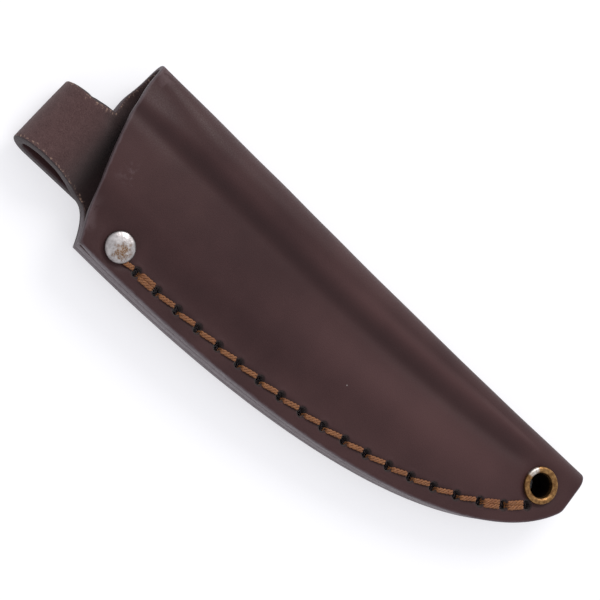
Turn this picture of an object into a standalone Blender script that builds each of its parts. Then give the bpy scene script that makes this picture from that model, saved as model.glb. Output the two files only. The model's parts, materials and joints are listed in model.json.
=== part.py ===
"""Leather belt sheath for a whittling knife, lying on its back.

The sheath is cut as one flat blank of leather, folded along the spine of the knife and sewn along
the edge side over a welt. The back panel runs on past the mouth as a strap, which folds back under
itself as the belt loop and is held by a rivet at the throat. An eyelet finishes the tip.

The layout has the spine fold along y = 0, the throat corner of the seam at x = 0, the tip at +x and
the table at z = 0. Depths are measured from the spine towards the seam, so y = -depth. At the end
the whole sheath is moved so that the origin is under the middle of its bounding box.
"""
import math

import bmesh
import bpy
from mathutils import Vector
from mathutils.geometry import delaunay_2d_cdt, intersect_point_line, interpolate_bezier

# Leather and fits
LEATHER = 0.0030
CLEARANCE = 0.0003
# Outline of the body
SEAM_LENGTH = 0.1538          # throat corner to the cut across the tip
THROAT_WIDTH = 0.0502         # spine to seam edge at the throat
SEAM_BELLY = 0.0034           # how far the seam edge's first handle swells outwards
SEAM_BELLY_AT = 0.0789
TIP_HANDLE_AT, TIP_HANDLE_DEPTH = 0.1404, 0.0398
TIP_CORNER_DEPTH = 0.0131     # the seam edge ends here and the cut across the tip begins
MOUTH_SPINE_RISE = 0.0136     # the spine reaches this far beyond the throat corner
MOUTH_FRONT_SLOPE = 0.24
MOUTH_BACK_SLOPE = -0.106
MOUTH_CORNER_DEPTH = 0.0067   # the front's mouth turns into the throat corner over this depth
# Section of the body
THROAT_THICKNESS = 0.0170     # over the crest beside the spine
BACK_SWELL_DEPTH = 0.0185     # the back bulges from the spine to this depth
TIP_FLAT = 0.0270             # the last stretch before the tip lies flat
THROAT_FLAT = 0.0140          # and so does the first, over the end of the strap
QUARTER_FOLD = 0.0110         # flat leather given to each half of the spine fold
# Belt loop
LOOP_WIDTH = 0.0210
LOOP_FROM_SPINE = 0.0198
LOOP_REACH = 0.0292           # outer face of the fold, before the throat corner
LOOP_START = -0.0050
LOOP_BLEND = 0.0095           # the panel beside the loop rises with it over this depth
RISE_RADIUS, RISE_ANGLE = 0.0080, math.radians(36)
RISE_STRAIGHT = 0.0048
CROWN_RADIUS = 0.0070
FALL_RADIUS, FALL_ANGLE = 0.0090, math.radians(38)
TAIL_END = 0.0143
TAIL_CORNER = 0.0040
BACK_CORNER_HANDLES = ((0.0006, 0.0037), (-0.0030, 0.0092))
# Seam
WELT_WIDTH = 0.0095
SEAM_INSET = 0.0047           # stitch line inside the seam edge
STITCH_PITCH = 0.0074
FIRST_STITCH = 0.0161         # along the stitch line from the throat
THREAD = 0.0008
THREAD_SPREAD = 0.00048       # each pass lies this far to its side of the hole
STITCH_HOLE = 0.0024
WELT_TIP = 0.0245             # the welt covers the whole tip over this length
# Rivet
RIVET_X, RIVET_DEPTH = 0.0087, 0.0441
RIVET_CAP = 0.0086
RIVET_DOME, RIVET_RIM = 0.0017, 0.0005
RIVET_BASE, RIVET_BASE_THICKNESS = 0.0080, 0.0009
SOCKET_OUTER, SOCKET_INNER = 0.0040, 0.0028
SOCKET_LENGTH = 0.0080
# Eyelet
EYELET_FROM_TIP, EYELET_DEPTH = 0.0102, 0.0119
EYELET_HOLE, EYELET_WALL = 0.0068, 0.0005
EYELET_FLANGE, EYELET_ROLL = 0.0104, 0.0011
EYELET_LIP = 0.0005
WASHER_OUTER, WASHER_THICKNESS = 0.0107, 0.0005
# Fineness
STATION_STEP = 0.0090
ROW_STEP = 0.0060
FOLD_ROWS = 4
MAX_TURN = math.radians(22)
STRAP_ROWS = 4
EDGE_POINTS = 44              # points along the sewn edge
CURVE_POINTS = 7              # and along each short curve of the outline
TIP_POINTS = 3                # and along the flat part of the cut across the tip
SHOULDER_STRIDE = 5           # every fifth point of the fine lines bends the sheet
HOLE_SIDES, RIVET_SIDES, EYELET_SIDES = 8, 16, 24
TURNED_SIDES = 32
ROUND_STEPS = 6               # steps over the rivet's dome and the eyelet's roll
EDGE_MARGIN = 0.0012
PROBE = 1e-5
MERGE = 1e-6

STACK = 3 * LEATHER + 2 * CLEARANCE
THROAT_BASE = LEATHER + CLEARANCE
TIP_BASE = 2 * CLEARANCE + WASHER_THICKNESS + EYELET_LIP
RIVET_CLEAR = SOCKET_OUTER / 2 + CLEARANCE
EYELET_BARREL = EYELET_HOLE / 2 + EYELET_WALL
EYELET_CLEAR = EYELET_BARREL + CLEARANCE
EYELET_X = SEAM_LENGTH - EYELET_FROM_TIP
LOOP_FAR = LOOP_FROM_SPINE + LOOP_WIDTH


def ease(t):
    """Smooth step from 0 to 1."""
    t = min(max(t, 0.0), 1.0)
    return t * t * (3 - 2 * t)


def along_body(x):
    """0 over the strap's end at the throat, 1 where the flat tip begins."""
    return ease((x - THROAT_FLAT) / (SEAM_LENGTH - TIP_FLAT - THROAT_FLAT))


def base(x):
    """Height of the underside of the sewn edge."""
    return THROAT_BASE + (TIP_BASE - THROAT_BASE) * along_body(x)


def crest(x):
    """Height of the front just inside the spine fold."""
    return THROAT_THICKNESS + (TIP_BASE + STACK - THROAT_THICKNESS) * along_body(x)


def ridge(x):
    """Height of the back just inside the spine fold."""
    return TIP_BASE * along_body(x)


def spine_radius(x):
    return (crest(x) - ridge(x)) / 2


# ---------------------------------------------------------------- outline of the body

def fold_depths(x):
    """Depths at which the spine fold's rows cross an edge."""
    radius = spine_radius(x)
    return [radius * (1 - math.cos(math.pi / 2 * i / FOLD_ROWS)) for i in range(FOLD_ROWS + 1)]


def seam_edge(count=160):
    """The sewn edge and the cut across the tip, from throat corner to spine, as (x, depth)."""
    handles = (
        Vector((0.0, THROAT_WIDTH)),
        Vector((SEAM_BELLY_AT, THROAT_WIDTH + SEAM_BELLY)),
        Vector((TIP_HANDLE_AT, TIP_HANDLE_DEPTH)),
        Vector((SEAM_LENGTH, TIP_CORNER_DEPTH)),
    )
    fold = fold_depths(SEAM_LENGTH)[::-1]
    gap = (TIP_CORNER_DEPTH - fold[0]) / TIP_POINTS
    cut = [TIP_CORNER_DEPTH - gap * i for i in range(1, TIP_POINTS)] + fold
    return interpolate_bezier(*handles, count) + [Vector((SEAM_LENGTH, depth)) for depth in cut]


def inset(line, distance):
    """The line moved inwards, towards the spine, by a distance."""
    moved = []
    for i, point in enumerate(line):
        run = line[min(i + 1, len(line) - 1)] - line[max(i - 1, 0)]
        moved.append(point + Vector((run.y, -run.x)).normalized() * distance)
    return moved


def measured(line):
    """Distance along the line of each of its points."""
    lengths = [0.0]
    for a, b in zip(line, line[1:]):
        lengths.append(lengths[-1] + (b - a).length)
    return lengths


def point_at(line, lengths, distance):
    for i in range(1, len(line)):
        if lengths[i] >= distance:
            share = (distance - lengths[i - 1]) / (lengths[i] - lengths[i - 1])
            return line[i - 1].lerp(line[i], share)
    return line[-1]


def depth_of(line, x):
    """Depth of the line where it passes x."""
    for a, b in zip(line, line[1:]):
        if a.x <= x < b.x:
            return a.y + (b.y - a.y) * (x - a.x) / (b.x - a.x)
    return line[0].y if x < line[0].x else line[-1].y


SEAM = seam_edge()
WELT_LINE = inset(SEAM, WELT_WIDTH)
STITCH_LINE = inset(SEAM, SEAM_INSET)
EYELET_AT = Vector((EYELET_X, EYELET_DEPTH))
RIVET_AT = Vector((RIVET_X, RIVET_DEPTH))


def stitch_holes():
    """Hole centres, evenly spaced from the first one to the one beside the eyelet."""
    lengths = measured(STITCH_LINE)
    clear = EYELET_FLANGE / 2 + CLEARANCE + STITCH_HOLE / 2
    last = next(
        length for point, length in zip(STITCH_LINE, lengths)
        if (point - EYELET_AT).length < clear + PROBE or point.x >= SEAM_LENGTH
    )
    gaps = round((last - FIRST_STITCH) / STITCH_PITCH)
    pitch = (last - FIRST_STITCH) / gaps
    return [point_at(STITCH_LINE, lengths, FIRST_STITCH + i * pitch) for i in range(gaps + 1)]


HOLES = stitch_holes()


# ---------------------------------------------------------------- the surface of the folded leather

def front_height(x, depth):
    top = base(x) + STACK
    radius = spine_radius(x)
    fall = ease((depth - radius) / (depth_of(WELT_LINE, max(x, 0.0)) - radius))
    return crest(x) + (top - crest(x)) * fall


def back_height(x, depth):
    radius = spine_radius(x)
    rise = ease((depth - radius) / (BACK_SWELL_DEPTH - radius))
    return ridge(x) + (base(x) - ridge(x)) * rise


def loop_path():
    """Middle of the strap's thickness, from the back panel round the loop, as (x, z, heading)."""
    x, z, heading = LOOP_START, THROAT_BASE + LEATHER / 2, math.pi
    path = [(x, z, heading)]

    def straight(length):
        nonlocal x, z
        x += length * math.cos(heading)
        z += length * math.sin(heading)
        path.append((x, z, heading))

    def turn(radius, angle):
        nonlocal x, z, heading
        parts = math.ceil(abs(angle) / MAX_TURN)
        step = angle / parts
        for _ in range(parts):
            chord = 2 * radius * math.sin(abs(step) / 2)
            x += chord * math.cos(heading + step / 2)
            z += chord * math.sin(heading + step / 2)
            heading += step
            path.append((x, z, heading))

    turn(RISE_RADIUS, -RISE_ANGLE)
    straight(RISE_STRAIGHT)
    turn(CROWN_RADIUS, RISE_ANGLE)
    drop = FALL_RADIUS * (1 - math.cos(FALL_ANGLE))
    fold_radius = (z - drop - LEATHER / 2) / (1 + math.cos(FALL_ANGLE))
    fall_reach = FALL_RADIUS * math.sin(FALL_ANGLE)
    fold_reach = fold_radius * (1 - math.sin(FALL_ANGLE)) + LEATHER / 2
    straight(x + LOOP_REACH - fall_reach - fold_reach)
    turn(FALL_RADIUS, FALL_ANGLE)
    turn(fold_radius, math.pi - FALL_ANGLE)
    straight(TAIL_END - x)
    return path


PATH = loop_path()
PATH_LENGTHS = measured([Vector((x, z)) for x, z, _ in PATH])
TAIL_FROM = PATH_LENGTHS[-2]


def loop_at(distance):
    """Point and heading at a distance along the loop's path."""
    for i in range(1, len(PATH)):
        if PATH_LENGTHS[i] >= distance or i == len(PATH) - 1:
            share = (distance - PATH_LENGTHS[i - 1]) / (PATH_LENGTHS[i] - PATH_LENGTHS[i - 1])
            return [a + (b - a) * share for a, b in zip(PATH[i - 1], PATH[i])]
    return PATH[-1]


def skin(u, v):
    """Place of a point of the blank's grain side, after folding.

    u runs along the sheath; v is 0 on the spine, positive on the front, negative on the back.
    """
    radius = spine_radius(u)
    middle = (crest(u) + ridge(u)) / 2
    if abs(v) < QUARTER_FOLD:
        angle = v / QUARTER_FOLD * math.pi / 2
        return Vector((u, -radius * (1 - math.cos(angle)), middle + radius * math.sin(angle)))
    depth = radius + abs(v) - QUARTER_FOLD
    if v > 0:
        return Vector((u, -depth, front_height(u, depth)))
    panel = Vector((u, -depth, back_height(u, depth)))
    if u >= LOOP_START:
        return panel
    x, z, heading = loop_at(LOOP_START - u)
    lower = (back_height(LOOP_START, depth) - THROAT_BASE) * (1 - ease((LOOP_START - u) / LOOP_WIDTH))
    strap = Vector((
        x - math.sin(heading) * LEATHER / 2,
        -depth,
        z + math.cos(heading) * LEATHER / 2 + lower,
    ))
    return panel.lerp(strap, ease((depth - LOOP_FROM_SPINE) / LOOP_BLEND + 1))


def folded(u, v, below):
    """Place of a point that lies some way below the grain side."""
    along = skin(u + PROBE, v) - skin(u - PROBE, v)
    across = skin(u, v + PROBE) - skin(u, v - PROBE)
    return skin(u, v) - across.cross(along).normalized() * below


def flat(x, depth, side):
    """Where a place on the front (side 1) or back (side -1) panel lies in the flat blank."""
    radius = spine_radius(x)
    if depth < radius:
        return Vector((x, side * QUARTER_FOLD * math.acos(1 - max(depth, 0.0) / radius) / (math.pi / 2)))
    return Vector((x, side * (QUARTER_FOLD + depth - radius)))


def flat_tail(x, depth):
    """Where a place on the end of the strap, under the back panel, lies in the flat blank."""
    u = LOOP_START - (TAIL_FROM + x - PATH[-2][0])
    return Vector((u, flat(LOOP_START, depth, -1).y))


# ---------------------------------------------------------------- the flat blank

def circle(centre, radius, sides):
    steps = (2 * math.pi * i / sides for i in range(sides))
    return [centre + Vector((math.cos(a), math.sin(a))) * radius for a in steps]


def quarter(centre, radius, start, sides=HOLE_SIDES // 2):
    """Quarter of a circle, turning back from the starting angle."""
    steps = (math.radians(start - 90 * i / sides) for i in range(sides + 1))
    return [centre + Vector((math.cos(a), math.sin(a))) * radius for a in steps]


def flare():
    """The concave edge between the throat corner and the strap, as (x, depth)."""
    corner = Vector((0.0, THROAT_WIDTH))
    pulls = [Vector((x, THROAT_WIDTH - depth)) for x, depth in BACK_CORNER_HANDLES]
    return interpolate_bezier(corner, *pulls, Vector((LOOP_START, LOOP_FAR)), CURVE_POINTS)


def mouth_of_front():
    """From the spine to the throat corner, as (x, depth)."""
    def on_slope(depth):
        return Vector((-MOUTH_SPINE_RISE + MOUTH_FRONT_SLOPE * depth, depth))

    turn = THROAT_WIDTH - MOUTH_CORNER_DEPTH
    depths = fold_depths(-MOUTH_SPINE_RISE)
    gap = (turn - depths[-1]) / CURVE_POINTS
    slope = [on_slope(depth) for depth in depths]
    slope += [on_slope(depths[-1] + gap * i) for i in range(1, CURVE_POINTS + 1)]
    pull = MOUTH_CORNER_DEPTH / 3
    corner = Vector((0.0, THROAT_WIDTH))
    handles = on_slope(turn + pull), corner + Vector((-pull, -pull / 2))
    return slope + interpolate_bezier(slope[-1], *handles, corner, CURVE_POINTS)[1:]


def blank_outline():
    """The blank's outline in (u, v), from the spine's mouth end round the front to the back."""
    front = [flat(p.x, p.y, 1) for p in mouth_of_front()]
    edge = seam_edge(EDGE_POINTS)
    front += [flat(p.x, p.y, 1) for p in edge[1:]]
    back = [flat(p.x, p.y, -1) for p in reversed(edge[:-1])]
    back += [flat(p.x, p.y, -1) for p in flare()[1:]]
    stations = [LOOP_START - length for length in PATH_LENGTHS[1:-1]]
    far, near = flat(LOOP_START, LOOP_FAR, -1).y, flat(LOOP_START, LOOP_FROM_SPINE, -1).y
    back += [Vector((u, far)) for u in stations]
    back += [flat_tail(p.x, p.y) for p in reversed(flare())]
    end = TAIL_END - TAIL_CORNER
    outer = Vector((end, THROAT_WIDTH - TAIL_CORNER))
    inner = Vector((end, LOOP_FROM_SPINE + TAIL_CORNER))
    back += [flat_tail(p.x, p.y) for p in quarter(outer, TAIL_CORNER, 90)]
    back += [flat_tail(p.x, p.y) for p in quarter(inner, TAIL_CORNER, 0)]
    notch = -MOUTH_SPINE_RISE + MOUTH_BACK_SLOPE * LOOP_FROM_SPINE
    back += [Vector((u, near)) for u in reversed(stations) if u < notch - EDGE_MARGIN]
    depths = [LOOP_FROM_SPINE] + fold_depths(-MOUTH_SPINE_RISE)[:0:-1]
    back += [flat(-MOUTH_SPINE_RISE + MOUTH_BACK_SLOPE * d, d, -1) for d in depths]
    return front + back


def distance_to(point, outline):
    nearest = 1.0
    for a, b in zip(outline, outline[1:] + outline[:1]):
        on_line, share = intersect_point_line(point, a, b)
        on_edge = a.lerp(b, min(max(share, 0.0), 1.0))
        nearest = min(nearest, (point - on_edge).length)
    return nearest


def columns():
    """Places along the body where the blank has a column of points."""
    return [STATION_STEP * i for i in range(-1, math.ceil(SEAM_LENGTH / STATION_STEP))]


def bend_lines(outline):
    """Lines that the triangles never cross: where the fold ends, and where the flat sewn edge begins."""
    lines = []
    for side in (1, -1):
        fold_end = [Vector((u, side * QUARTER_FOLD)) for u in columns()]
        lines.append([p for p in fold_end if distance_to(p, outline) > EDGE_MARGIN])
        shoulder = [flat(p.x, p.y, side) for p in WELT_LINE[::SHOULDER_STRIDE] if p.x < EYELET_X - EYELET_CLEAR]
        lines.append([p for p in shoulder if distance_to(p, outline) > EDGE_MARGIN])
    return lines


def inner_points(outlines):
    """Points inside the blank that let it bend: rows along the fold and panels, and across the strap."""
    rows = [QUARTER_FOLD * i / FOLD_ROWS for i in range(-FOLD_ROWS, FOLD_ROWS + 1)]
    panel_rows = math.ceil(THROAT_WIDTH / ROW_STEP)
    rows += [s * (QUARTER_FOLD + ROW_STEP * i) for i in range(1, panel_rows) for s in (1, -1)]
    found = []
    for u in columns():
        limit = abs(flat(u, depth_of(WELT_LINE, max(u, 0.0)), 1).y) - EDGE_MARGIN
        found += [Vector((u, v)) for v in rows if abs(v) < limit]
    near = flat(LOOP_START, LOOP_FROM_SPINE, -1).y
    across = [near - LOOP_WIDTH * i / STRAP_ROWS for i in range(1, STRAP_ROWS)]
    for length in PATH_LENGTHS[1:-1]:
        found += [Vector((LOOP_START - length, v)) for v in across]
    kept = []
    for point in found:
        clear_of_edges = all(distance_to(point, outline) > EDGE_MARGIN for outline in outlines)
        if clear_of_edges and all((point - other).length > EDGE_MARGIN for other in kept):
            kept.append(point)
    return kept


def counter_clockwise(outline):
    area = sum(a.cross(b) for a, b in zip(outline, outline[1:] + outline[:1]))
    return outline if area > 0 else outline[::-1]


def sheet_of(name, outlines, lines=(), points=()):
    """A flat mesh inside the first outline and outside the others, bent along lines and points."""
    places, faces, edges = [], [], []
    for outline in map(counter_clockwise, outlines):
        faces.append(list(range(len(places), len(places) + len(outline))))
        places += outline
    for line in lines:
        start = len(places)
        places += line
        edges += [(start + i, start + i + 1) for i in range(len(line) - 1)]
    places += points
    verts, _, found, _, _, inside = delaunay_2d_cdt(places, edges, faces, 1, MERGE / 10)
    mesh = bpy.data.meshes.new(name)
    kept = [face for face, sources in zip(found, inside) if sources == [0]]
    mesh.from_pydata([(v.x, v.y, 0.0) for v in verts], [], kept)
    sheet = bmesh.new()
    sheet.from_mesh(mesh)
    loose = [v for v in sheet.verts if not v.link_faces]
    bmesh.ops.delete(sheet, geom=loose, context="VERTS")
    bmesh.ops.recalc_face_normals(sheet, faces=sheet.faces)
    if sum(face.normal.z for face in sheet.faces) < 0:
        bmesh.ops.reverse_faces(sheet, faces=sheet.faces)
    sheet.to_mesh(mesh)
    sheet.free()
    return mesh


def thick(name, mesh, thickness):
    """The flat mesh as an object with a Solidify applied: its top stays at z = 0."""
    thin = bpy.data.objects.new(name + "_flat", mesh)
    bpy.context.scene.collection.objects.link(thin)
    wall = thin.modifiers.new("Thickness", "SOLIDIFY")
    wall.thickness = thickness
    wall.offset = -1.0
    bpy.context.view_layer.update()
    seen = thin.evaluated_get(bpy.context.evaluated_depsgraph_get())
    solid = bpy.data.meshes.new_from_object(seen)
    solid.name = name
    bpy.data.objects.remove(thin)
    return solid


# ---------------------------------------------------------------- objects

def principled(name, colour, roughness, metallic=0.0):
    material = bpy.data.materials.new(name)
    material.use_nodes = True
    shader = material.node_tree.nodes["Principled BSDF"]
    shader.inputs["Base Color"].default_value = (*colour, 1.0)
    shader.inputs["Roughness"].default_value = roughness
    shader.inputs["Metallic"].default_value = metallic
    return material


def added(name, mesh, material, collection, parent):
    piece = bpy.data.objects.new(name, mesh)
    mesh.materials.append(material)
    piece.parent = parent
    collection.objects.link(piece)
    return piece


def turned(name, profile, material, collection, parent, sides=TURNED_SIDES):
    """A turned piece: its profile is (radius, height), outer side from top to bottom."""
    mesh = bpy.data.meshes.new(name)
    edges = [(i, i + 1) for i in range(len(profile) - 1)]
    if profile[0][0] > 0:
        edges.append((len(profile) - 1, 0))
    mesh.from_pydata([(radius, 0.0, height) for radius, height in profile], edges, [])
    piece = added(name, mesh, material, collection, parent)
    lathe = piece.modifiers.new("Turn", "SCREW")
    lathe.steps = sides
    lathe.render_steps = sides
    lathe.use_merge_vertices = True
    lathe.merge_threshold = MERGE
    lathe.use_smooth_shade = True
    return piece


def make_leather(material, collection, cutters, parent):
    holes = []
    for side in (1, -1):
        for hole in HOLES:
            holes.append([flat(p.x, p.y, side) for p in circle(hole, STITCH_HOLE / 2, HOLE_SIDES)])
        holes.append([flat(p.x, p.y, side) for p in circle(RIVET_AT, RIVET_CLEAR, RIVET_SIDES)])
        holes.append([flat(p.x, p.y, side) for p in circle(EYELET_AT, EYELET_CLEAR, EYELET_SIDES)])
    holes.append([flat_tail(p.x, p.y) for p in circle(RIVET_AT, RIVET_CLEAR, RIVET_SIDES)])
    outline = blank_outline()
    lines = bend_lines(outline)
    outlines = [outline] + holes
    points = inner_points(outlines + lines)
    mesh = thick("sheath_leather", sheet_of("blank", outlines, lines, points), LEATHER)
    for vertex in mesh.vertices:
        vertex.co = folded(vertex.co.x, vertex.co.y, -vertex.co.z)
    mesh.flip_normals()
    leather = added("sheath_leather", mesh, material, collection, parent)

    bpy.ops.mesh.primitive_cylinder_add(
        vertices=TURNED_SIDES, radius=RIVET_BASE / 2 + CLEARANCE, depth=2 * (RIVET_BASE_THICKNESS + 2 * CLEARANCE),
        location=(RIVET_X, -RIVET_DEPTH, 0.0))
    seat = bpy.context.object
    seat.name = "rivet_seat"
    seat.parent = parent
    seat.hide_render = True
    seat.display_type = "WIRE"
    for home in list(seat.users_collection):
        home.objects.unlink(seat)
    cutters.objects.link(seat)
    cut = leather.modifiers.new("Rivet seat", "BOOLEAN")
    cut.operation = "DIFFERENCE"
    cut.object = seat
    return leather


def make_welt(material, collection, parent):
    edge = seam_edge(EDGE_POINTS)
    spine_side = spine_radius(SEAM_LENGTH) + CLEARANCE
    outer = [p for p in edge if p.y > spine_side and p.x > CLEARANCE]
    last = next(i for i, p in enumerate(edge) if p.y <= spine_side)
    share = (edge[last - 1].y - spine_side) / (edge[last - 1].y - edge[last].y)
    outer.append(edge[last - 1].lerp(edge[last], share))
    tip_start = SEAM_LENGTH - WELT_TIP
    inner = [p for p in WELT_LINE[::SHOULDER_STRIDE] if outer[0].x <= p.x <= tip_start - WELT_WIDTH / 2]
    outline = outer + [Vector((tip_start, spine_side))] + inner[::-1]
    holes = [circle(hole, STITCH_HOLE / 2, HOLE_SIDES) for hole in HOLES]
    holes += [circle(RIVET_AT, RIVET_CLEAR, RIVET_SIDES), circle(EYELET_AT, EYELET_CLEAR, EYELET_SIDES)]
    mesh = thick("welt", sheet_of("welt_sheet", [outline] + holes), LEATHER)
    top = 2 * LEATHER + CLEARANCE
    for vertex in mesh.vertices:
        x, depth, height = vertex.co
        vertex.co = (x, -depth, base(x) + top + height)
    mesh.flip_normals()
    return added("welt", mesh, material, collection, parent)


def thread_route():
    """One thread sewn out along the holes and back, so that each hole holds two passes."""
    last = len(HOLES) - 1
    directions = []
    for i in range(len(HOLES)):
        directions.append((HOLES[min(i + 1, last)] - HOLES[max(i - 1, 0)]).normalized())
    lift = CLEARANCE + THREAD / 2
    bend = THREAD / 2

    def place(i, towards_spine, shift, on_front, drop):
        run = directions[i]
        side = Vector((run.y, -run.x)) * THREAD_SPREAD * towards_spine
        at = HOLES[i] + side + run * shift
        if on_front:
            return Vector((at.x, -at.y, base(HOLES[i].x) + STACK + lift - drop))
        return Vector((at.x, -at.y, base(HOLES[i].x) - lift + drop))

    def pass_over(i, on_front, forwards):
        start, end = (-1, 1) if on_front else (1, -1)
        if i + 1 == last:
            end = 1
        points = [
            place(i, start, 0.0, on_front, bend), place(i, start, bend, on_front, 0.0),
            place(i + 1, end, -bend, on_front, 0.0), place(i + 1, end, 0.0, on_front, bend),
        ]
        return points if forwards else points[::-1]

    route = [place(0, -1, 0.0, False, 0.0)]
    for i in range(last):
        route += pass_over(i, i % 2 == 0, True)
    for i in reversed(range(last)):
        route += pass_over(i, i % 2 == 1, False)
    return route


def make_thread(material, collection, parent):
    path = bpy.data.curves.new("seam_thread", "CURVE")
    path.dimensions = "3D"
    path.bevel_depth = THREAD / 2
    path.bevel_resolution = 1
    path.use_fill_caps = True
    route = thread_route()
    spline = path.splines.new("POLY")
    spline.points.add(len(route) - 1)
    for point, place in zip(spline.points, route):
        point.co = (*place, 1.0)
    path.materials.append(material)
    thread = bpy.data.objects.new("seam_thread", path)
    thread.parent = parent
    collection.objects.link(thread)
    return thread


def make_rivet(material, collection, parent):
    top = THROAT_BASE + STACK + CLEARANCE
    radius = RIVET_CAP / 2
    dome = []
    for i in range(ROUND_STEPS + 1):
        angle = math.pi / 2 * i / ROUND_STEPS
        height = top + RIVET_RIM + (RIVET_DOME - RIVET_RIM) * math.cos(angle)
        dome.append((radius * math.sin(angle), height))
    ceiling = top + RIVET_RIM - CLEARANCE
    socket_end = top - SOCKET_LENGTH
    cap = dome + [
        (radius, top), (SOCKET_OUTER / 2, top), (SOCKET_OUTER / 2, socket_end),
        (SOCKET_INNER / 2, socket_end), (SOCKET_INNER / 2, ceiling), (0.0, ceiling),
    ]
    foot = CLEARANCE / 2
    post = SOCKET_INNER / 2 - CLEARANCE
    shoulder = foot + RIVET_BASE_THICKNESS
    pin = [
        (0.0, ceiling - CLEARANCE), (post, ceiling - CLEARANCE), (post, shoulder),
        (RIVET_BASE / 2, shoulder), (RIVET_BASE / 2, foot), (0.0, foot),
    ]
    for name, profile in (("rivet_cap", cap), ("rivet_post", pin)):
        piece = turned(name, profile, material, collection, parent)
        piece.location = (RIVET_X, -RIVET_DEPTH, 0.0)


def make_eyelet(material, collection, parent):
    top = TIP_BASE + STACK + CLEARANCE
    inner, outer = EYELET_HOLE / 2, EYELET_FLANGE / 2
    middle, reach = (inner + outer) / 2, (outer - inner) / 2
    roll = []
    for i in range(ROUND_STEPS + 1):
        angle = math.pi * i / ROUND_STEPS
        roll.append((middle - reach * math.cos(angle), top + EYELET_ROLL * math.sin(angle)))
    lip_top = EYELET_LIP
    barrel = [
        (EYELET_BARREL, top), (EYELET_BARREL, lip_top), (outer, lip_top),
        (outer, 0.0), (inner, 0.0),
    ]
    ring_top = TIP_BASE - CLEARANCE
    hole, rim = EYELET_BARREL + CLEARANCE, WASHER_OUTER / 2
    washer = [
        (hole, ring_top), (rim, ring_top),
        (rim, ring_top - WASHER_THICKNESS), (hole, ring_top - WASHER_THICKNESS),
    ]
    for name, profile in (("eyelet", roll + barrel), ("eyelet_washer", washer)):
        piece = turned(name, profile, material, collection, parent)
        piece.location = (EYELET_X, -EYELET_DEPTH, 0.0)


def centre_on_table(pieces, parent):
    """Move everything so that the origin is under the middle of the bounding box."""
    bpy.context.view_layer.update()
    graph = bpy.context.evaluated_depsgraph_get()
    corners = []
    for piece in pieces:
        seen = piece.evaluated_get(graph)
        corners += [seen.matrix_world @ vertex.co for vertex in seen.to_mesh().vertices]
        seen.to_mesh_clear()
    for axis in (0, 1):
        values = [corner[axis] for corner in corners]
        parent.location[axis] = -(min(values) + max(values)) / 2
    parent.location[2] = -min(corner.z for corner in corners)
    bpy.context.view_layer.update()


def main():
    for old in list(bpy.data.objects):
        bpy.data.objects.remove(old)
    collection = bpy.data.collections.new("knife_sheath")
    cutters = bpy.data.collections.new("cutters")
    for group in (collection, cutters):
        bpy.context.scene.collection.children.link(group)
    root = bpy.data.objects.new("sheath_layout", None)
    collection.objects.link(root)

    leather = principled("brown_leather", (0.055, 0.030, 0.030), 0.50)
    welt = principled("welt_leather", (0.110, 0.095, 0.100), 0.60)
    thread = principled("waxed_thread", (0.260, 0.090, 0.025), 0.60)
    steel = principled("rivet_nickel", (0.450, 0.420, 0.390), 0.35, 1.0)
    brass = principled("antique_brass", (0.300, 0.190, 0.090), 0.35, 1.0)

    make_leather(leather, collection, cutters, root)
    make_welt(welt, collection, root)
    make_thread(thread, collection, root)
    make_rivet(steel, collection, root)
    make_eyelet(brass, collection, root)
    centre_on_table([piece for piece in collection.objects if piece.type != "EMPTY"], root)


main()
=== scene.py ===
# %% [markdown]
# # A leather belt sheath for a small carving knife
# This lesson builds the empty sheath as it lies on a table. It is made the way a leather worker
# makes it: one flat blank is cut, folded along the knife's spine, sewn over a welt, and finished
# with a rivet at the throat and an eyelet at the tip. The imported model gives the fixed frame, and
# every visible piece is then rebuilt finely around it.

# %% Load the frame
import json
import math

import bpy
import numpy as np
from mathutils import Matrix, Vector, kdtree, noise
from mathutils.geometry import delaunay_2d_cdt

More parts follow.
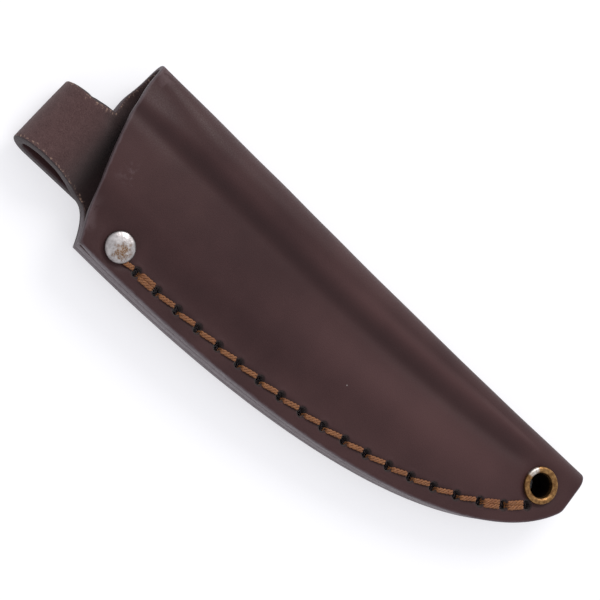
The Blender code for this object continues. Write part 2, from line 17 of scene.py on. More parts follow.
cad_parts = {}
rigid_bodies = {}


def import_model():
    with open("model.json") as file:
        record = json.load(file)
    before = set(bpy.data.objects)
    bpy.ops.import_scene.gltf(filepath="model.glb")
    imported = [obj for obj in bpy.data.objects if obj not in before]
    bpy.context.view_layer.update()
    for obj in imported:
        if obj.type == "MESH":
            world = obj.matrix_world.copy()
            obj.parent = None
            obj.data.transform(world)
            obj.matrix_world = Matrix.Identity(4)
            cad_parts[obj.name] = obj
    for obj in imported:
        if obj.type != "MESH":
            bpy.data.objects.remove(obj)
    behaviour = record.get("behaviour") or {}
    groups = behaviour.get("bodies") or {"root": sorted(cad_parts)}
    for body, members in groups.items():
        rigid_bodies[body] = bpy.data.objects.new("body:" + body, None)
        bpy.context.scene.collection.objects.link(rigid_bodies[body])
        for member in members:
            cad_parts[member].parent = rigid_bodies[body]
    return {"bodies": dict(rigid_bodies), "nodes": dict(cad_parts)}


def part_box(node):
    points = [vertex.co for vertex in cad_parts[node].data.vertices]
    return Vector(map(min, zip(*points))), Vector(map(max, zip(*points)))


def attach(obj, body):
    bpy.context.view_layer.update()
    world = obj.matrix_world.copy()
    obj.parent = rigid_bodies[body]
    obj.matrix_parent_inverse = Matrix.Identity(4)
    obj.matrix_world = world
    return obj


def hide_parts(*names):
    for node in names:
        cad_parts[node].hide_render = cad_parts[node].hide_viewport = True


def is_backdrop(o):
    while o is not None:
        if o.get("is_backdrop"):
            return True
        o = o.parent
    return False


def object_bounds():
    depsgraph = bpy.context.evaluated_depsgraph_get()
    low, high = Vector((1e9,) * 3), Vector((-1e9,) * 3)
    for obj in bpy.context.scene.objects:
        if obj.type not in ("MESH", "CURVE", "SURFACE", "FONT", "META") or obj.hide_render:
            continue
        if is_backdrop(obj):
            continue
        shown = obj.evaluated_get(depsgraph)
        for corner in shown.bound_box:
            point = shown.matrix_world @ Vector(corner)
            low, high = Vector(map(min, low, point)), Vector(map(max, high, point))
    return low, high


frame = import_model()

cad_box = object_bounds()
print("nodes in the frame:", sorted(frame["nodes"]))
print("box of the frame in mm:", [[round(c * 1000, 1) for c in corner] for corner in cad_box])

# %% [markdown]
# ## Where things are
# The sheath is laid out from its throat: x runs from the throat corner of the seam to the tip, and
# depth runs from the spine fold to the sewn edge. The leather node's box gives the two numbers that
# carry this layout into the frame, so nothing has to be fitted by eye.

# %% Layout
MM = 0.001
LOOP_REACH = 29.2 * MM            # the belt loop's fold, before the throat corner
leather_low, leather_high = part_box("sheath_leather")
ORIGIN_X = leather_low.x + LOOP_REACH
SPINE_Y = leather_high.y


def in_frame(layout):
    """Layout places (x, depth, height) as places of the frame."""
    layout = np.atleast_2d(layout)
    return np.stack([ORIGIN_X + layout[:, 0], SPINE_Y - layout[:, 1], layout[:, 2]], axis=1)


print("throat corner of the seam at", in_frame((0, 50.2 * MM, 0)).round(4).tolist())

# %% [markdown]
# ## Sizes of the sheath
# These are the leather worker's numbers: the leather's thickness, the outline of the body, the
# height of the filled pocket, the belt loop, the seam, and the two pieces of hardware.

# %% Sizes
LEATHER = 3.0 * MM
GAP = 0.3 * MM
STACK = 3 * LEATHER + 2 * GAP     # front, welt and back, sewn together
THROAT_BASE = LEATHER + GAP       # the sewn edge rests on the end of the strap here
TIP_BASE = 1.6 * MM
SEAM_LENGTH = 153.8 * MM
THROAT_WIDTH = 50.2 * MM
SEAM_HANDLES = np.array(((0, 50.2), (78.9, 53.6), (140.4, 39.8), (153.8, 13.1))) * MM
TIP_ROUND = 1.8 * MM
THROAT_THICKNESS = 17.0 * MM
THROAT_FLAT, TIP_FLAT = 14.0 * MM, 27.0 * MM
QUARTER_FOLD = 11.0 * MM
BACK_SWELL_DEPTH = 18.5 * MM
MOUTH_SPINE_RISE = 12.3 * MM
BACK_MOUTH_HANDLES = np.array(((-12.3, 0), (-11.7, 3.8), (-12.9, 12), (-15.5, 18.3))) * MM
MOUTH_HANDLES = np.array(((-12.3, 0), (-14.2, 13), (-9.5, 31), (0, 50.2))) * MM
PARED_TO, PARED_REACH = 0.52, 6.5 * MM        # how thin the leather is pared at the mouths
LOOP_WIDTH, LOOP_FROM_SPINE = 21.0 * MM, 19.8 * MM
LOOP_START, LOOP_BLEND = -5.0 * MM, 9.5 * MM
LOOP_FAR = LOOP_FROM_SPINE + LOOP_WIDTH
TAIL_END, TAIL_CORNER = 14.3 * MM, 4.0 * MM
WELT_WIDTH, SEAM_INSET = 9.5 * MM, 4.7 * MM
STITCH_PITCH, FIRST_STITCH = 7.4 * MM, 16.1 * MM
RIVET_AT = np.array((8.7, 44.1)) * MM
EYELET_AT = np.array((143.6, 11.9)) * MM
print(f"sewn edge {STACK / MM:.1f} mm thick, throat {THROAT_THICKNESS / MM:.1f} mm thick")

# %% [markdown]
# ## Section of the body
# The pocket is fullest behind the throat and runs out flat at the tip. A few heights describe it at
# any x: the underside of the sewn edge, the top of the front, the underside of the back, and the
# spine fold between them. At the mouth no handle fills the fold, so it is pressed nearly flat there,
# and its top and bottom are drawn together.

# %% Heights along the body
PINCH_REACH = 24.0 * MM           # how far the pressed fold reaches from the mouth
PINCH_TOP, PINCH_BOTTOM = 3.6 * MM, 4.2 * MM


def ease(t):
    t = np.clip(t, 0.0, 1.0)
    return t * t * (3 - 2 * t)


def along_body(x):
    return ease((x - THROAT_FLAT) / (SEAM_LENGTH - TIP_FLAT - THROAT_FLAT))


def base(x):
    return THROAT_BASE + (TIP_BASE - THROAT_BASE) * along_body(x)


def crest(x):
    return THROAT_THICKNESS + (TIP_BASE + STACK - THROAT_THICKNESS) * along_body(x)


def ridge(x):
    return TIP_BASE * along_body(x)


def pinch(x):
    """How far the fold is pressed flat, 1 at the mouth."""
    return 1 - ease((x + MOUTH_SPINE_RISE) / PINCH_REACH)


def fold_top(x):
    return crest(x) - PINCH_TOP * pinch(x)


def fold_bottom(x):
    return ridge(x) + PINCH_BOTTOM * pinch(x)


def spine_radius(x):
    return (fold_top(x) - fold_bottom(x)) / 2


print("spine radius at throat and tip in mm:",
      [round(float(spine_radius(x)) / MM, 2) for x in (0.0, SEAM_LENGTH)])

# %% [markdown]
# ## The sewn edge and its stitch holes
# The edge is one long curve with a small corner where the tip is cut across. A Bezier curve with
# four handles draws it, which is how a pattern drawn on card would be bent by eye. The stitch line
# and the welt's inner line are the same curve, moved inwards.

# %% Outline of the body


def bezier_at(handles, t):
    """Points on a cubic curve at the given shares of its run."""
    t = np.asarray(t)[:, None]
    a, b, c, d = np.asarray(handles, float)
    return (1 - t) ** 3 * a + 3 * (1 - t) ** 2 * t * b + 3 * (1 - t) * t * t * c + t ** 3 * d


def bezier(handles, count):
    return bezier_at(handles, np.linspace(0, 1, count))


def lengths_of(line):
    return np.concatenate([[0.0], np.cumsum(np.linalg.norm(np.diff(line, axis=0), axis=1))])


def respaced(line, step):
    """The same line with points an even distance apart."""
    lengths = lengths_of(line)
    at = np.linspace(0, lengths[-1], max(2, round(lengths[-1] / step) + 1))
    return np.stack([np.interp(at, lengths, line[:, i]) for i in range(line.shape[1])], axis=1)


def moved_in(line, distance):
    """The line moved towards the spine."""
    run = np.gradient(line, axis=0)
    normal = np.stack([run[:, 1], -run[:, 0]], axis=1)
    return line + normal / np.linalg.norm(normal, axis=1)[:, None] * distance


def seam_edge(step):
    curve = bezier(SEAM_HANDLES, 400)
    cut = np.linspace(SEAM_HANDLES[3], (SEAM_LENGTH, 0.0), 100)
    before = curve[lengths_of(curve) < lengths_of(curve)[-1] - TIP_ROUND]
    after = cut[lengths_of(cut) > TIP_ROUND]
    corner = bezier((before[-1], SEAM_HANDLES[3], SEAM_HANDLES[3], after[0]), 20)
    return respaced(np.vstack([before, corner[1:-1], after]), step)


CURVE = bezier(SEAM_HANDLES, 400)
STITCH_LINE = moved_in(CURVE, SEAM_INSET)
WELT_LINE = moved_in(CURVE, WELT_WIDTH)


def stitch_holes():
    """Evenly spaced holes, from the one beside the rivet to the one beside the eyelet."""
    lengths = lengths_of(STITCH_LINE)
    near = np.linalg.norm(STITCH_LINE - EYELET_AT, axis=1) < 6.7 * MM
    last = lengths[np.argmax(near)]
    count = round((last - FIRST_STITCH) / STITCH_PITCH) + 1
    at = np.linspace(FIRST_STITCH, last, count)
    return np.stack([np.interp(at, lengths, STITCH_LINE[:, i]) for i in (0, 1)], axis=1)


HOLES = stitch_holes()
print(f"{len(HOLES)} stitch holes, pitch {np.linalg.norm(HOLES[1] - HOLES[0]) / MM:.2f} mm")

# %% [markdown]
# ## How the front and back swell
# Leather that was wet-formed round a knife keeps its shape. Beside the spine roll there is a
# shallow valley that runs to the eyelet, then a broad low bulge over the blade, then a fall to the
# flat sewn edge. The valley is deepest over the blade's middle. The back swells less. Sums of smooth
# steps and soft bumps are enough, because leather this thick has no sharp folds.

# %% Heights across the body
VALLEY = np.array(((-20, 14.2), (60, 14.0), (85, 13.2), (102, 12.2), (114, 11.2), (126, 10.0),
                   (136, 8.9), (150, 7.5))) * MM
SPINE_HOLLOW = 0.8 * MM           # the spine is very slightly hollow along its length
VALLEY_SHARE = 0.42               # how much of the fall to the seam lies in the valley's side
rising = slice(0, int(np.argmax(WELT_LINE[:, 0])))


def flange_depth(x):
    return np.interp(x, WELT_LINE[rising, 0], WELT_LINE[rising, 1])


def bump(depth, at, width):
    """A soft bump across the body, 1 high at its middle."""
    return np.exp(-((depth - at) / width) ** 2)


def front_height(x, depth):
    top = base(x) + STACK
    valley = np.interp(x, VALLEY[:, 0], VALLEY[:, 1])
    shoulder = np.maximum(flange_depth(x), valley + 2 * MM)
    middle = (valley + shoulder) / 2
    to_valley = ease((depth - valley + 3.6 * MM) / (6.6 * MM))
    to_seam = ease((depth - shoulder + 7.5 * MM) / (9.5 * MM))
    fall = VALLEY_SHARE * to_valley + (1 - VALLEY_SHARE) * to_seam
    swell = 1 - ease((x - 112 * MM) / (28 * MM))
    runs_out = 1 - ease((x - 130 * MM) / (9 * MM))
    over_blade = ease((x - 55 * MM) / (35 * MM)) * (1 - ease((x - 130 * MM) / (16 * MM)))
    dip = 0.22 * MM * runs_out * bump(depth, valley + 1.2 * MM, 2.0 * MM)
    dip = dip + 0.50 * MM * over_blade * bump(depth, valley + 0.4 * MM, 2.3 * MM)
    bulge = 0.40 * MM * swell * bump(depth, middle, 8.0 * MM)
    bulge = bulge + 0.45 * MM * over_blade * (bump(depth, valley - 4.8 * MM, 1.8 * MM)
                                              + bump(depth, middle, 6.0 * MM))
    pressed_down = PINCH_TOP * pinch(x) * (1 - ease((depth - spine_radius(x)) / (15 * MM)))
    return crest(x) + (top - crest(x)) * fall - dip + bulge - pressed_down


def back_height(x, depth):
    radius = spine_radius(x)
    lowest = fold_bottom(x)
    return lowest + (base(x) - lowest) * ease((depth - radius) / (BACK_SWELL_DEPTH - radius))


for depth in (8, 14, 26, 42):
    print(f"front height at x 60, depth {depth}: {front_height(60 * MM, depth * MM) / MM:.2f} mm")

# %% [markdown]
# ## The path of the belt loop
# The back panel runs on past the mouth as a strap. It rises, bends right over, and comes back
# along the table to lie under the throat, where the rivet holds it. A "turtle" that only knows
# straight lines and turns walks this path, so the strap keeps its true length.

# %% Walk the loop


def loop_path():
    """Middle of the strap's thickness as rows of (length, x, height, heading)."""
    state = [0.0, LOOP_START, THROAT_BASE + LEATHER / 2, math.pi]
    path = [tuple(state)]

    def straight(length):
        state[0] += length
        state[1] += length * math.cos(state[3])
        state[2] += length * math.sin(state[3])
        path.append(tuple(state))

    def turn(radius, angle):
        parts = math.ceil(abs(angle) / math.radians(4))
        for _ in range(parts):
            step = angle / parts
            chord = 2 * radius * math.sin(abs(step) / 2)
            state[0] += chord
            state[1] += chord * math.cos(state[3] + step / 2)
            state[2] += chord * math.sin(state[3] + step / 2)
            state[3] += step
            path.append(tuple(state))

    rise, fall, fall_radius = math.radians(36), math.radians(38), 9.0 * MM
    turn(8.0 * MM, -rise)
    straight(4.8 * MM)
    turn(7.0 * MM, rise)
    drop = fall_radius * (1 - math.cos(fall))
    fold = (state[2] - drop - LEATHER / 2) / (1 + math.cos(fall))
    reach = fall_radius * math.sin(fall) + fold * (1 - math.sin(fall)) + LEATHER / 2
    straight(state[1] + LOOP_REACH - reach)
    turn(fall_radius, fall)
    turn(fold, math.pi - fall)
    straight(TAIL_END - state[1])
    return np.array(path)


PATH = loop_path()
TAIL_FROM, TAIL_X = PATH[-2, 0], PATH[-2, 1]
print(f"strap length from the mouth {PATH[-1, 0] / MM:.1f} mm, top of loop "
      f"{(PATH[:, 2].max() + LEATHER / 2) / MM:.1f} mm")

# %% [markdown]
# ## From the flat blank to the folded sheath
# Every point of the leather is known by its place (u, v) on the flat blank and by how far it lies
# below the grain side. `skin` folds the blank: v = 0 is the spine, positive v is the front, negative
# v is the back. `folded` then goes down from the skin along its normal. This keeps the thickness
# even everywhere, which moving a box's vertices about would not.

# %% Fold the blank
PROBE = 0.01 * MM
LOOP_SLANT, LOOP_CUP = 0.055, 0.7 * MM


def strap_place(u, depth):
    """Grain side of the strap, with its slanted fold and slightly cupped width."""
    at = LOOP_START - u
    x, z, heading = (np.interp(at, PATH[:, 0], PATH[:, i]) for i in (1, 2, 3))
    share = np.clip((depth - LOOP_FROM_SPINE) / LOOP_WIDTH, 0, 1)
    x = np.where(x < LOOP_START, LOOP_START + (x - LOOP_START) * (1 - LOOP_SLANT * (1 - share)), x)
    lower = (back_height(LOOP_START, depth) - THROAT_BASE) * (1 - ease(at / LOOP_WIDTH))
    cup = LOOP_CUP * (2 * share - 1) ** 2 * ease((-13 * MM - x) / (9 * MM)) * z / (12 * MM)
    return np.stack([
        x - np.sin(heading) * LEATHER / 2, depth,
        z + np.cos(heading) * LEATHER / 2 + lower + cup], axis=1)


def skin(u, v):
    """Grain side of the folded leather, as layout places."""
    radius, middle = spine_radius(u), (fold_top(u) + fold_bottom(u)) / 2
    size = np.abs(v)
    angle = np.clip(v / QUARTER_FOLD, -1, 1) * math.pi / 2
    depth = np.where(size < QUARTER_FOLD, radius * (1 - np.cos(angle)), radius + size - QUARTER_FOLD)
    panel = np.where(v > 0, front_height(u, depth), back_height(u, depth))
    height = np.where(size < QUARTER_FOLD, middle + radius * np.sin(angle), panel)
    place = np.stack([u, depth, height], axis=1)
    strap = (v < -QUARTER_FOLD) & (u < LOOP_START)
    share = ease((depth - LOOP_FROM_SPINE) / LOOP_BLEND + 1) * strap
    place += (strap_place(u, depth) - place) * share[:, None]
    hollow = SPINE_HOLLOW * np.sin(math.pi * np.clip((u + MOUTH_SPINE_RISE) / (167 * MM), 0, 1))
    place[:, 1] += hollow * ease(1 - depth / (20 * MM))
    return place


def folded(u, v, below, raised=0.0):
    along = skin(u + PROBE, v) - skin(u - PROBE, v)
    across = skin(u, v + PROBE) - skin(u, v - PROBE)
    normal = np.cross(along, across)
    normal /= np.linalg.norm(normal, axis=1)[:, None]
    return skin(u, v) + normal * (raised - below)[:, None]


print("spine point above the middle in mm:",
      (skin(np.array([60 * MM]), np.array([0.0]))[0] / MM).round(2).tolist())

# %% [markdown]
# ## The outline of the flat blank
# The blank's outline runs across the front's mouth, round the seam and tip of the front, back along
# those of the back, out along the strap, round its end, and home across the back's mouth. Each
# stretch is drawn where it lies on the folded sheath, taken to the flat, and given evenly spaced
# points, so its corners stay crisp. The two mouths have more points near the fold, where a small
# step in depth is a long way round the fold.

# %% Cut the outline
EDGE_STEP = 1.0 * MM


def flat(places, side):
    """Where places on the front (1) or back (-1) panel lie on the flat blank."""
    x, depth = np.atleast_2d(places).T
    radius = spine_radius(x)
    roll = QUARTER_FOLD * np.arccos(np.clip(1 - depth / radius, -1, 1)) / (math.pi / 2)
    return np.stack([x, side * np.where(depth < radius, roll, QUARTER_FOLD + depth - radius)], 1)


def flat_tail(places):
    """Where places on the strap's end, under the back panel, lie on the flat blank."""
    places = np.atleast_2d(places)
    v = flat(np.stack([np.full(len(places), LOOP_START), places[:, 1]], 1), -1)[:, 1]
    return np.stack([LOOP_START - (TAIL_FROM + places[:, 0] - TAIL_X), v], 1)


def arc(centre, radius, start, sweep, count):
    angle = np.radians(np.linspace(start, start + sweep, count))
    return np.asarray(centre) + radius * np.stack([np.cos(angle), np.sin(angle)], 1)


def whole_seam():
    """The sewn edge and the tip's cut, with fine spacing where the cut meets the fold."""
    line = seam_edge(0.5 * MM)
    line = line[line[:, 1] > 5.5 * MM]
    end = 5.5 * MM * np.linspace(1, 0, 80)[1:] ** 2
    return np.vstack([line, np.stack([np.full(len(end), SEAM_LENGTH), end], 1)])


def blank_stretches():
    front_mouth = bezier_at(MOUTH_HANDLES, np.linspace(0, 1, 240) ** 2)
    edge = whole_seam()
    back_edge = edge[edge[:, 0] > 1.2 * MM]
    corner = back_edge[0]
    flare = bezier((corner, corner + (-0.6 * MM, -3.7 * MM), corner + (-4.0 * MM, -9.2 * MM),
                    (LOOP_START, LOOP_FAR)), 40)
    tail_corner = np.array((2.3 * MM, THROAT_WIDTH + 0.15 * MM))
    tail_flare = bezier((flare[-1], flare[-1] + (3.2 * MM, 0.4 * MM),
                         tail_corner - (1.8 * MM, 5.0 * MM), tail_corner), 40)
    end, near = TAIL_END - TAIL_CORNER, LOOP_FROM_SPINE
    round_outer = arc((end, THROAT_WIDTH - TAIL_CORNER), TAIL_CORNER, 90, -90, 20)
    round_inner = arc((end, near + TAIL_CORNER), TAIL_CORNER, 0, -90, 20)
    tail = np.vstack([tail_corner[None], round_outer, round_inner])
    back_mouth = bezier_at(BACK_MOUTH_HANDLES, np.linspace(0, 1, 160) ** 2)[::-1]
    strap_from = np.array((-24 * MM, near))
    into_notch = bezier((strap_from, strap_from + (3.5 * MM, -0.3 * MM),
                         back_mouth[0] + (-2.6 * MM, 0.8 * MM), back_mouth[0]), 30)
    return [
        flat(front_mouth, 1), flat(edge, 1), flat(back_edge[::-1], -1),
        flat(flare, -1), np.vstack([flat(flare[-1], -1), flat_tail(tail_flare[0])]),
        flat_tail(tail_flare), flat_tail(tail),
        np.vstack([flat_tail(tail[-1]), flat(into_notch[0], -1)]), flat(into_notch, -1),
        flat(back_mouth, -1),
    ]


def joined(stretches):
    return np.vstack([respaced(stretch, EDGE_STEP)[:-1] for stretch in stretches])


STRETCHES = blank_stretches()
OUTLINE = joined(STRETCHES)
MOUTH_LINE = respaced(STRETCHES[0], 0.4 * MM)
BOTH_MOUTHS = np.vstack([MOUTH_LINE, respaced(STRETCHES[-1], 0.4 * MM)])
print(f"blank outline: {len(OUTLINE)} points, "
      f"{(OUTLINE.max(0) - OUTLINE.min(0)).round(4).tolist()} m laid flat")

# %% [markdown]
# ## Holes through the leather
# The awl leaves a slightly long hole in line with the seam. The rivet and the eyelet have round
# punched holes, and the rivet's goes through the end of the strap as well.

# %% Punch the holes
HOLE_LONG, HOLE_WIDE = 1.12 * MM, 1.32 * MM
RIVET_HOLE, EYELET_HOLE = 2.3 * MM, 4.2 * MM


def direction_at(i):
    run = HOLES[min(i + 1, len(HOLES) - 1)] - HOLES[max(i - 1, 0)]
    return run / np.linalg.norm(run)


def awl_hole(i, grow=0.0):
    along = direction_at(i)
    aside = np.array((-along[1], along[0]))
    angle = np.linspace(0, 2 * math.pi, 16, endpoint=False)[:, None]
    return (HOLES[i] + along * (HOLE_LONG + grow) * np.cos(angle)
            + aside * (HOLE_WIDE + grow) * np.sin(angle))


def punched(centre, radius, count):
    return arc(centre, radius, 0, 360, count + 1)[:-1]


def panel_holes(side):
    holes = [flat(awl_hole(i), side) for i in range(len(HOLES))]
    holes.append(flat(punched(RIVET_AT, RIVET_HOLE, 28), side))
    holes.append(flat(punched(EYELET_AT, EYELET_HOLE, 48), side))
    return holes


BLANK_HOLES = panel_holes(1) + panel_holes(-1)
BLANK_HOLES.append(flat_tail(punched(RIVET_AT, RIVET_HOLE, 28)))
print(len(BLANK_HOLES), "holes in the blank")

# %% [markdown]
# ## Turning an outline into thick leather with soft edges
# The blank could be solidified and bevelled with modifiers, but bevels misbehave on a triangulated
# sheet. Instead the outline itself is stepped inwards ring by ring along a rounded section, and the
# top and bottom are filled with a Delaunay triangulation of evenly scattered points. The result is
# closed and even, with one material for the grain side, one for the flesh side, one for the edge.

# %% Sheet maker
ROUNDING = 0.45 * MM
GRAIN, FLESH, CUT = 0, 1, 2


def area_of(loop):
    nxt = np.roll(loop, -1, axis=0)
    return (loop[:, 0] * nxt[:, 1] - nxt[:, 0] * loop[:, 1]).sum() / 2


def stepped_in(loop, distance):
    """A closed loop moved to its left by a distance."""
    before, after = loop - np.roll(loop, 1, axis=0), np.roll(loop, -1, axis=0) - loop
    before /= np.linalg.norm(before, axis=1)[:, None]
    after /= np.linalg.norm(after, axis=1)[:, None]
    normal = np.stack([-(before + after)[:, 1], (before + after)[:, 0]], 1)
    half = np.linalg.norm(normal, axis=1)[:, None] / 2
    return loop + normal / (2 * half) * distance / np.maximum(half, 0.6)


def edge_section(thickness, rounding):
    """(inset, below) from the top face round the edge to the bottom face."""
    turn = [math.radians(a) for a in (0, 30, 60, 90)]
    top = [(rounding * (1 - math.sin(a)), rounding * (1 - math.cos(a))) for a in turn]
    return top + [(0.0, thickness / 2)] + [(i, thickness - b) for i, b in reversed(top)]


def nearest(points, line):
    """Distance from each point to the nearest point of a line, and which one that is."""
    tree = kdtree.KDTree(len(line))
    for i, place in enumerate(line):
        tree.insert((place[0], place[1], 0.0), i)
    tree.balance()
    found = [tree.find((p[0], p[1], 0.0)) for p in points]
    return np.array([f[2] for f in found]), np.array([f[1] for f in found])


def scattered(low, high, step):
    """Points of an even three-way lattice."""
    rows = np.arange(low[1], high[1], step * math.sqrt(3) / 2)
    columns = np.arange(low[0], high[0], step)
    grid = [np.stack([columns + (i % 2) * step / 2, np.full(len(columns), row)], 1)
            for i, row in enumerate(rows)]
    return np.vstack(grid)


def filled(loops, inner):
    """Triangles inside the first loop and outside the others: places, faces and loop indices."""
    places = np.vstack(loops + [inner])
    starts = np.cumsum([0] + [len(loop) for loop in loops])
    faces = [list(range(a, b)) for a, b in zip(starts, starts[1:])]
    forwards = [face if area_of(loop) > 0 else face[::-1] for face, loop in zip(faces, loops)]
    verts, _, found, originals, _, inside = delaunay_2d_cdt(
        [Vector(p) for p in places], [], forwards, 1, 1e-8)
    new_of = {old: new for new, olds in enumerate(originals) for old in olds}
    kept = np.array([f for f, source in zip(found, inside) if source == [0]])
    corners = np.array([(v.x, v.y) for v in verts])
    a, b, c = (corners[kept[:, i]] for i in range(3))
    reversed_ones = ((b[:, 0] - a[:, 0]) * (c[:, 1] - a[:, 1])
                     < (b[:, 1] - a[:, 1]) * (c[:, 0] - a[:, 0]))
    kept[reversed_ones] = kept[reversed_ones][:, ::-1]
    rings = [[new_of[i] for i in face] for face in faces]
    return corners, kept, rings


def thick_sheet(name, outline, holes, inner, thickness, rounding, place, hole_slot=CUT):
    """A closed sheet with rounded edges; `place` takes (flat places, below) to the frame."""
    loops = [outline if area_of(outline) > 0 else outline[::-1]]
    loops += [hole if area_of(hole) < 0 else hole[::-1] for hole in holes]
    tops = [stepped_in(loop, rounding) for loop in loops]
    clear, _ = nearest(inner, np.vstack(tops))
    inner = inner[clear > 0.38 * MM]
    corners, faces, rings = filled(tops, inner)
    used = np.unique(faces)
    renumber = np.full(len(corners), -1)
    renumber[used] = np.arange(len(used))
    top, count = corners[used], len(used)
    faces = renumber[faces]
    flats, depths = [top, top], [np.zeros(count), np.full(count, thickness)]
    polygons = [tuple(f) for f in faces] + [tuple(f[::-1] + count) for f in faces]
    slots = [GRAIN] * len(faces) + [FLESH] * len(faces)
    total = 2 * count
    section = edge_section(thickness, rounding)
    for number, (loop, ring) in enumerate(zip(loops, rings)):
        previous = renumber[ring]
        size = len(loop)
        for step, (inset, below) in enumerate(section[1:], 1):
            if step == len(section) - 1:
                current = renumber[ring] + count
            else:
                flats.append(stepped_in(loop, inset))
                depths.append(np.full(size, below))
                current = np.arange(total, total + size)
                total += size
            for i in range(size):
                j = (i + 1) % size
                polygons.append((previous[j], previous[i], current[i], current[j]))
            edge = GRAIN if step == 1 else (FLESH if step == len(section) - 1 else CUT)
            slots += [edge if number == 0 else hole_slot] * size
            previous = current
    flats, depths = np.vstack(flats), np.concatenate(depths)
    mesh = bpy.data.meshes.new(name)
    places = in_frame(place(flats, depths))
    mesh.from_pydata(places.tolist(), [], [[int(i) for i in p] for p in polygons])
    mesh.polygons.foreach_set("material_index", slots)
    mesh.polygons.foreach_set("use_smooth", [True] * len(polygons))
    return mesh, flats


def store(mesh, name, values):
    mesh.attributes.new(name, "FLOAT", "POINT").data.foreach_set("value", values.astype(np.float32))


def volume_of(mesh):
    """Volume inside a closed mesh; less than zero when its faces look inwards."""
    mesh.calc_loop_triangles()
    corners = np.empty(len(mesh.vertices) * 3)
    mesh.vertices.foreach_get("co", corners)
    index = np.empty(len(mesh.loop_triangles) * 3, np.int32)
    mesh.loop_triangles.foreach_get("vertices", index)
    a, b, c = corners.reshape(-1, 3)[index].reshape(-1, 3, 3).transpose(1, 0, 2)
    return float((a * np.cross(b, c)).sum() / 6)


def piece(name, mesh, *materials):
    """A finished piece at the origin, with every face looking outwards."""
    if volume_of(mesh) < 0:
        mesh.flip_normals()
    for material in materials:
        mesh.materials.append(material)
    made = bpy.data.objects.new(name, mesh)
    bpy.context.scene.collection.objects.link(made)
    mesh.update()
    return made


print("edge section in mm:",
      [(round(i / MM, 2), round(b / MM, 2)) for i, b in edge_section(LEATHER, ROUNDING)])

# %% [markdown]
# ## What tools and thread leave on the surface
# The thread pulls a shallow channel between holes, the awl raises a little lip round each hole, the
# rivet and eyelet press dimples, and the rivet's setting tool left a faint ring on one side. Low,
# slow noise keeps the panels from looking machined. All of this is a height added along the normal
# and faded out through the leather, so the flesh side and the thickness stay clean.

# %% Relief of the grain side
STITCH_FINE = respaced(STITCH_LINE, 0.2 * MM)
STITCH_LENGTHS = lengths_of(STITCH_FINE)
LINE_FIRST = STITCH_LENGTHS[nearest(HOLES[:1], STITCH_FINE)[1][0]]
LINE_LAST = STITCH_LENGTHS[nearest(HOLES[-1:], STITCH_FINE)[1][0]]
PITCH = (LINE_LAST - LINE_FIRST) / (len(HOLES) - 1)
CHANNEL_DEEP, LIP_HIGH, DIMPLE_DEEP = 0.30 * MM, 0.15 * MM, 0.30 * MM
TOOL_RING, TOOL_DEEP = 6.6 * MM, 0.10 * MM


def on_panel(flats):
    """Flat places as (x, depth) on the front or back panel."""
    return np.stack([flats[:, 0], spine_radius(flats[:, 0]) + np.abs(flats[:, 1]) - QUARTER_FOLD], 1)


def seam_masks(flats):
    """Channel and lip strengths, 0 to 1, at flat places."""
    places = on_panel(flats)
    away, index = nearest(places, STITCH_FINE)
    along = STITCH_LENGTHS[index]
    phase = (along - LINE_FIRST) / PITCH
    from_hole = np.abs(phase - np.round(phase)) * PITCH
    sewn = (along > LINE_FIRST - 5 * MM) & (along < LINE_LAST + 0.5 * MM)
    sewn &= (flats[:, 0] > LOOP_START) & (np.abs(flats[:, 1]) > QUARTER_FOLD)
    channel = np.exp(-(away / (0.85 * MM)) ** 2) * sewn
    to_hole, _ = nearest(places, HOLES)
    lip = np.exp(-((to_hole - 1.75 * MM) / (0.42 * MM)) ** 2) * (0.35 + 0.65 * ease(away / MM)) * sewn
    return channel * (0.4 + 0.6 * ease(from_hole / (1.5 * MM))), lip


def pressed(places, centre, radius, soft):
    return 1 - ease((np.linalg.norm(places - centre, axis=1) - radius) / soft)


def relief(flats):
    places = on_panel(flats)
    body = (flats[:, 0] > LOOP_START) & (np.abs(flats[:, 1]) > QUARTER_FOLD)
    channel, lip = seam_masks(flats)
    height = LIP_HIGH * lip - CHANNEL_DEEP * channel
    from_rivet = np.linalg.norm(places - RIVET_AT, axis=1)
    mouth_side = ease((RIVET_AT[0] - places[:, 0]) / (4 * MM))
    height -= TOOL_DEEP * mouth_side * bump(from_rivet, TOOL_RING, 0.35 * MM) * body
    height -= DIMPLE_DEEP * pressed(places, RIVET_AT, 4.6 * MM, 1.6 * MM) * body
    height -= DIMPLE_DEEP * pressed(places, EYELET_AT, 5.3 * MM, 1.6 * MM) * body
    wave = np.array([noise.noise((u / (16 * MM), v / (9 * MM), 0.3)) for u, v in flats])
    return height + 0.10 * MM * wave * (flats[:, 0] > -14 * MM) * (flats[:, 1] > 0)


print("relief at a hole's lip in mm:",
      (relief(flat(HOLES[5] + (0, 1.75 * MM), 1)) / MM).round(3).tolist())

# %% [markdown]
# ## The leather body
# Points are scattered every millimetre, and every half millimetre in a band along the stitches where
# the relief is fine. Near both mouths the leather is pared thinner, as a maker does with a skiving
# knife, so `below` is scaled down there.

# %% Build the leather
SCATTER, SCATTER_FINE, BAND = 1.05 * MM, 0.52 * MM, 2.9 * MM


def stitch_band(side):
    rows = [moved_in(STITCH_FINE, offset) for offset in np.arange(-BAND, BAND + 1e-6, SCATTER_FINE)]
    rows = [respaced(row, SCATTER_FINE)[(i % 2):] for i, row in enumerate(rows)]
    return flat(np.vstack(rows), side)


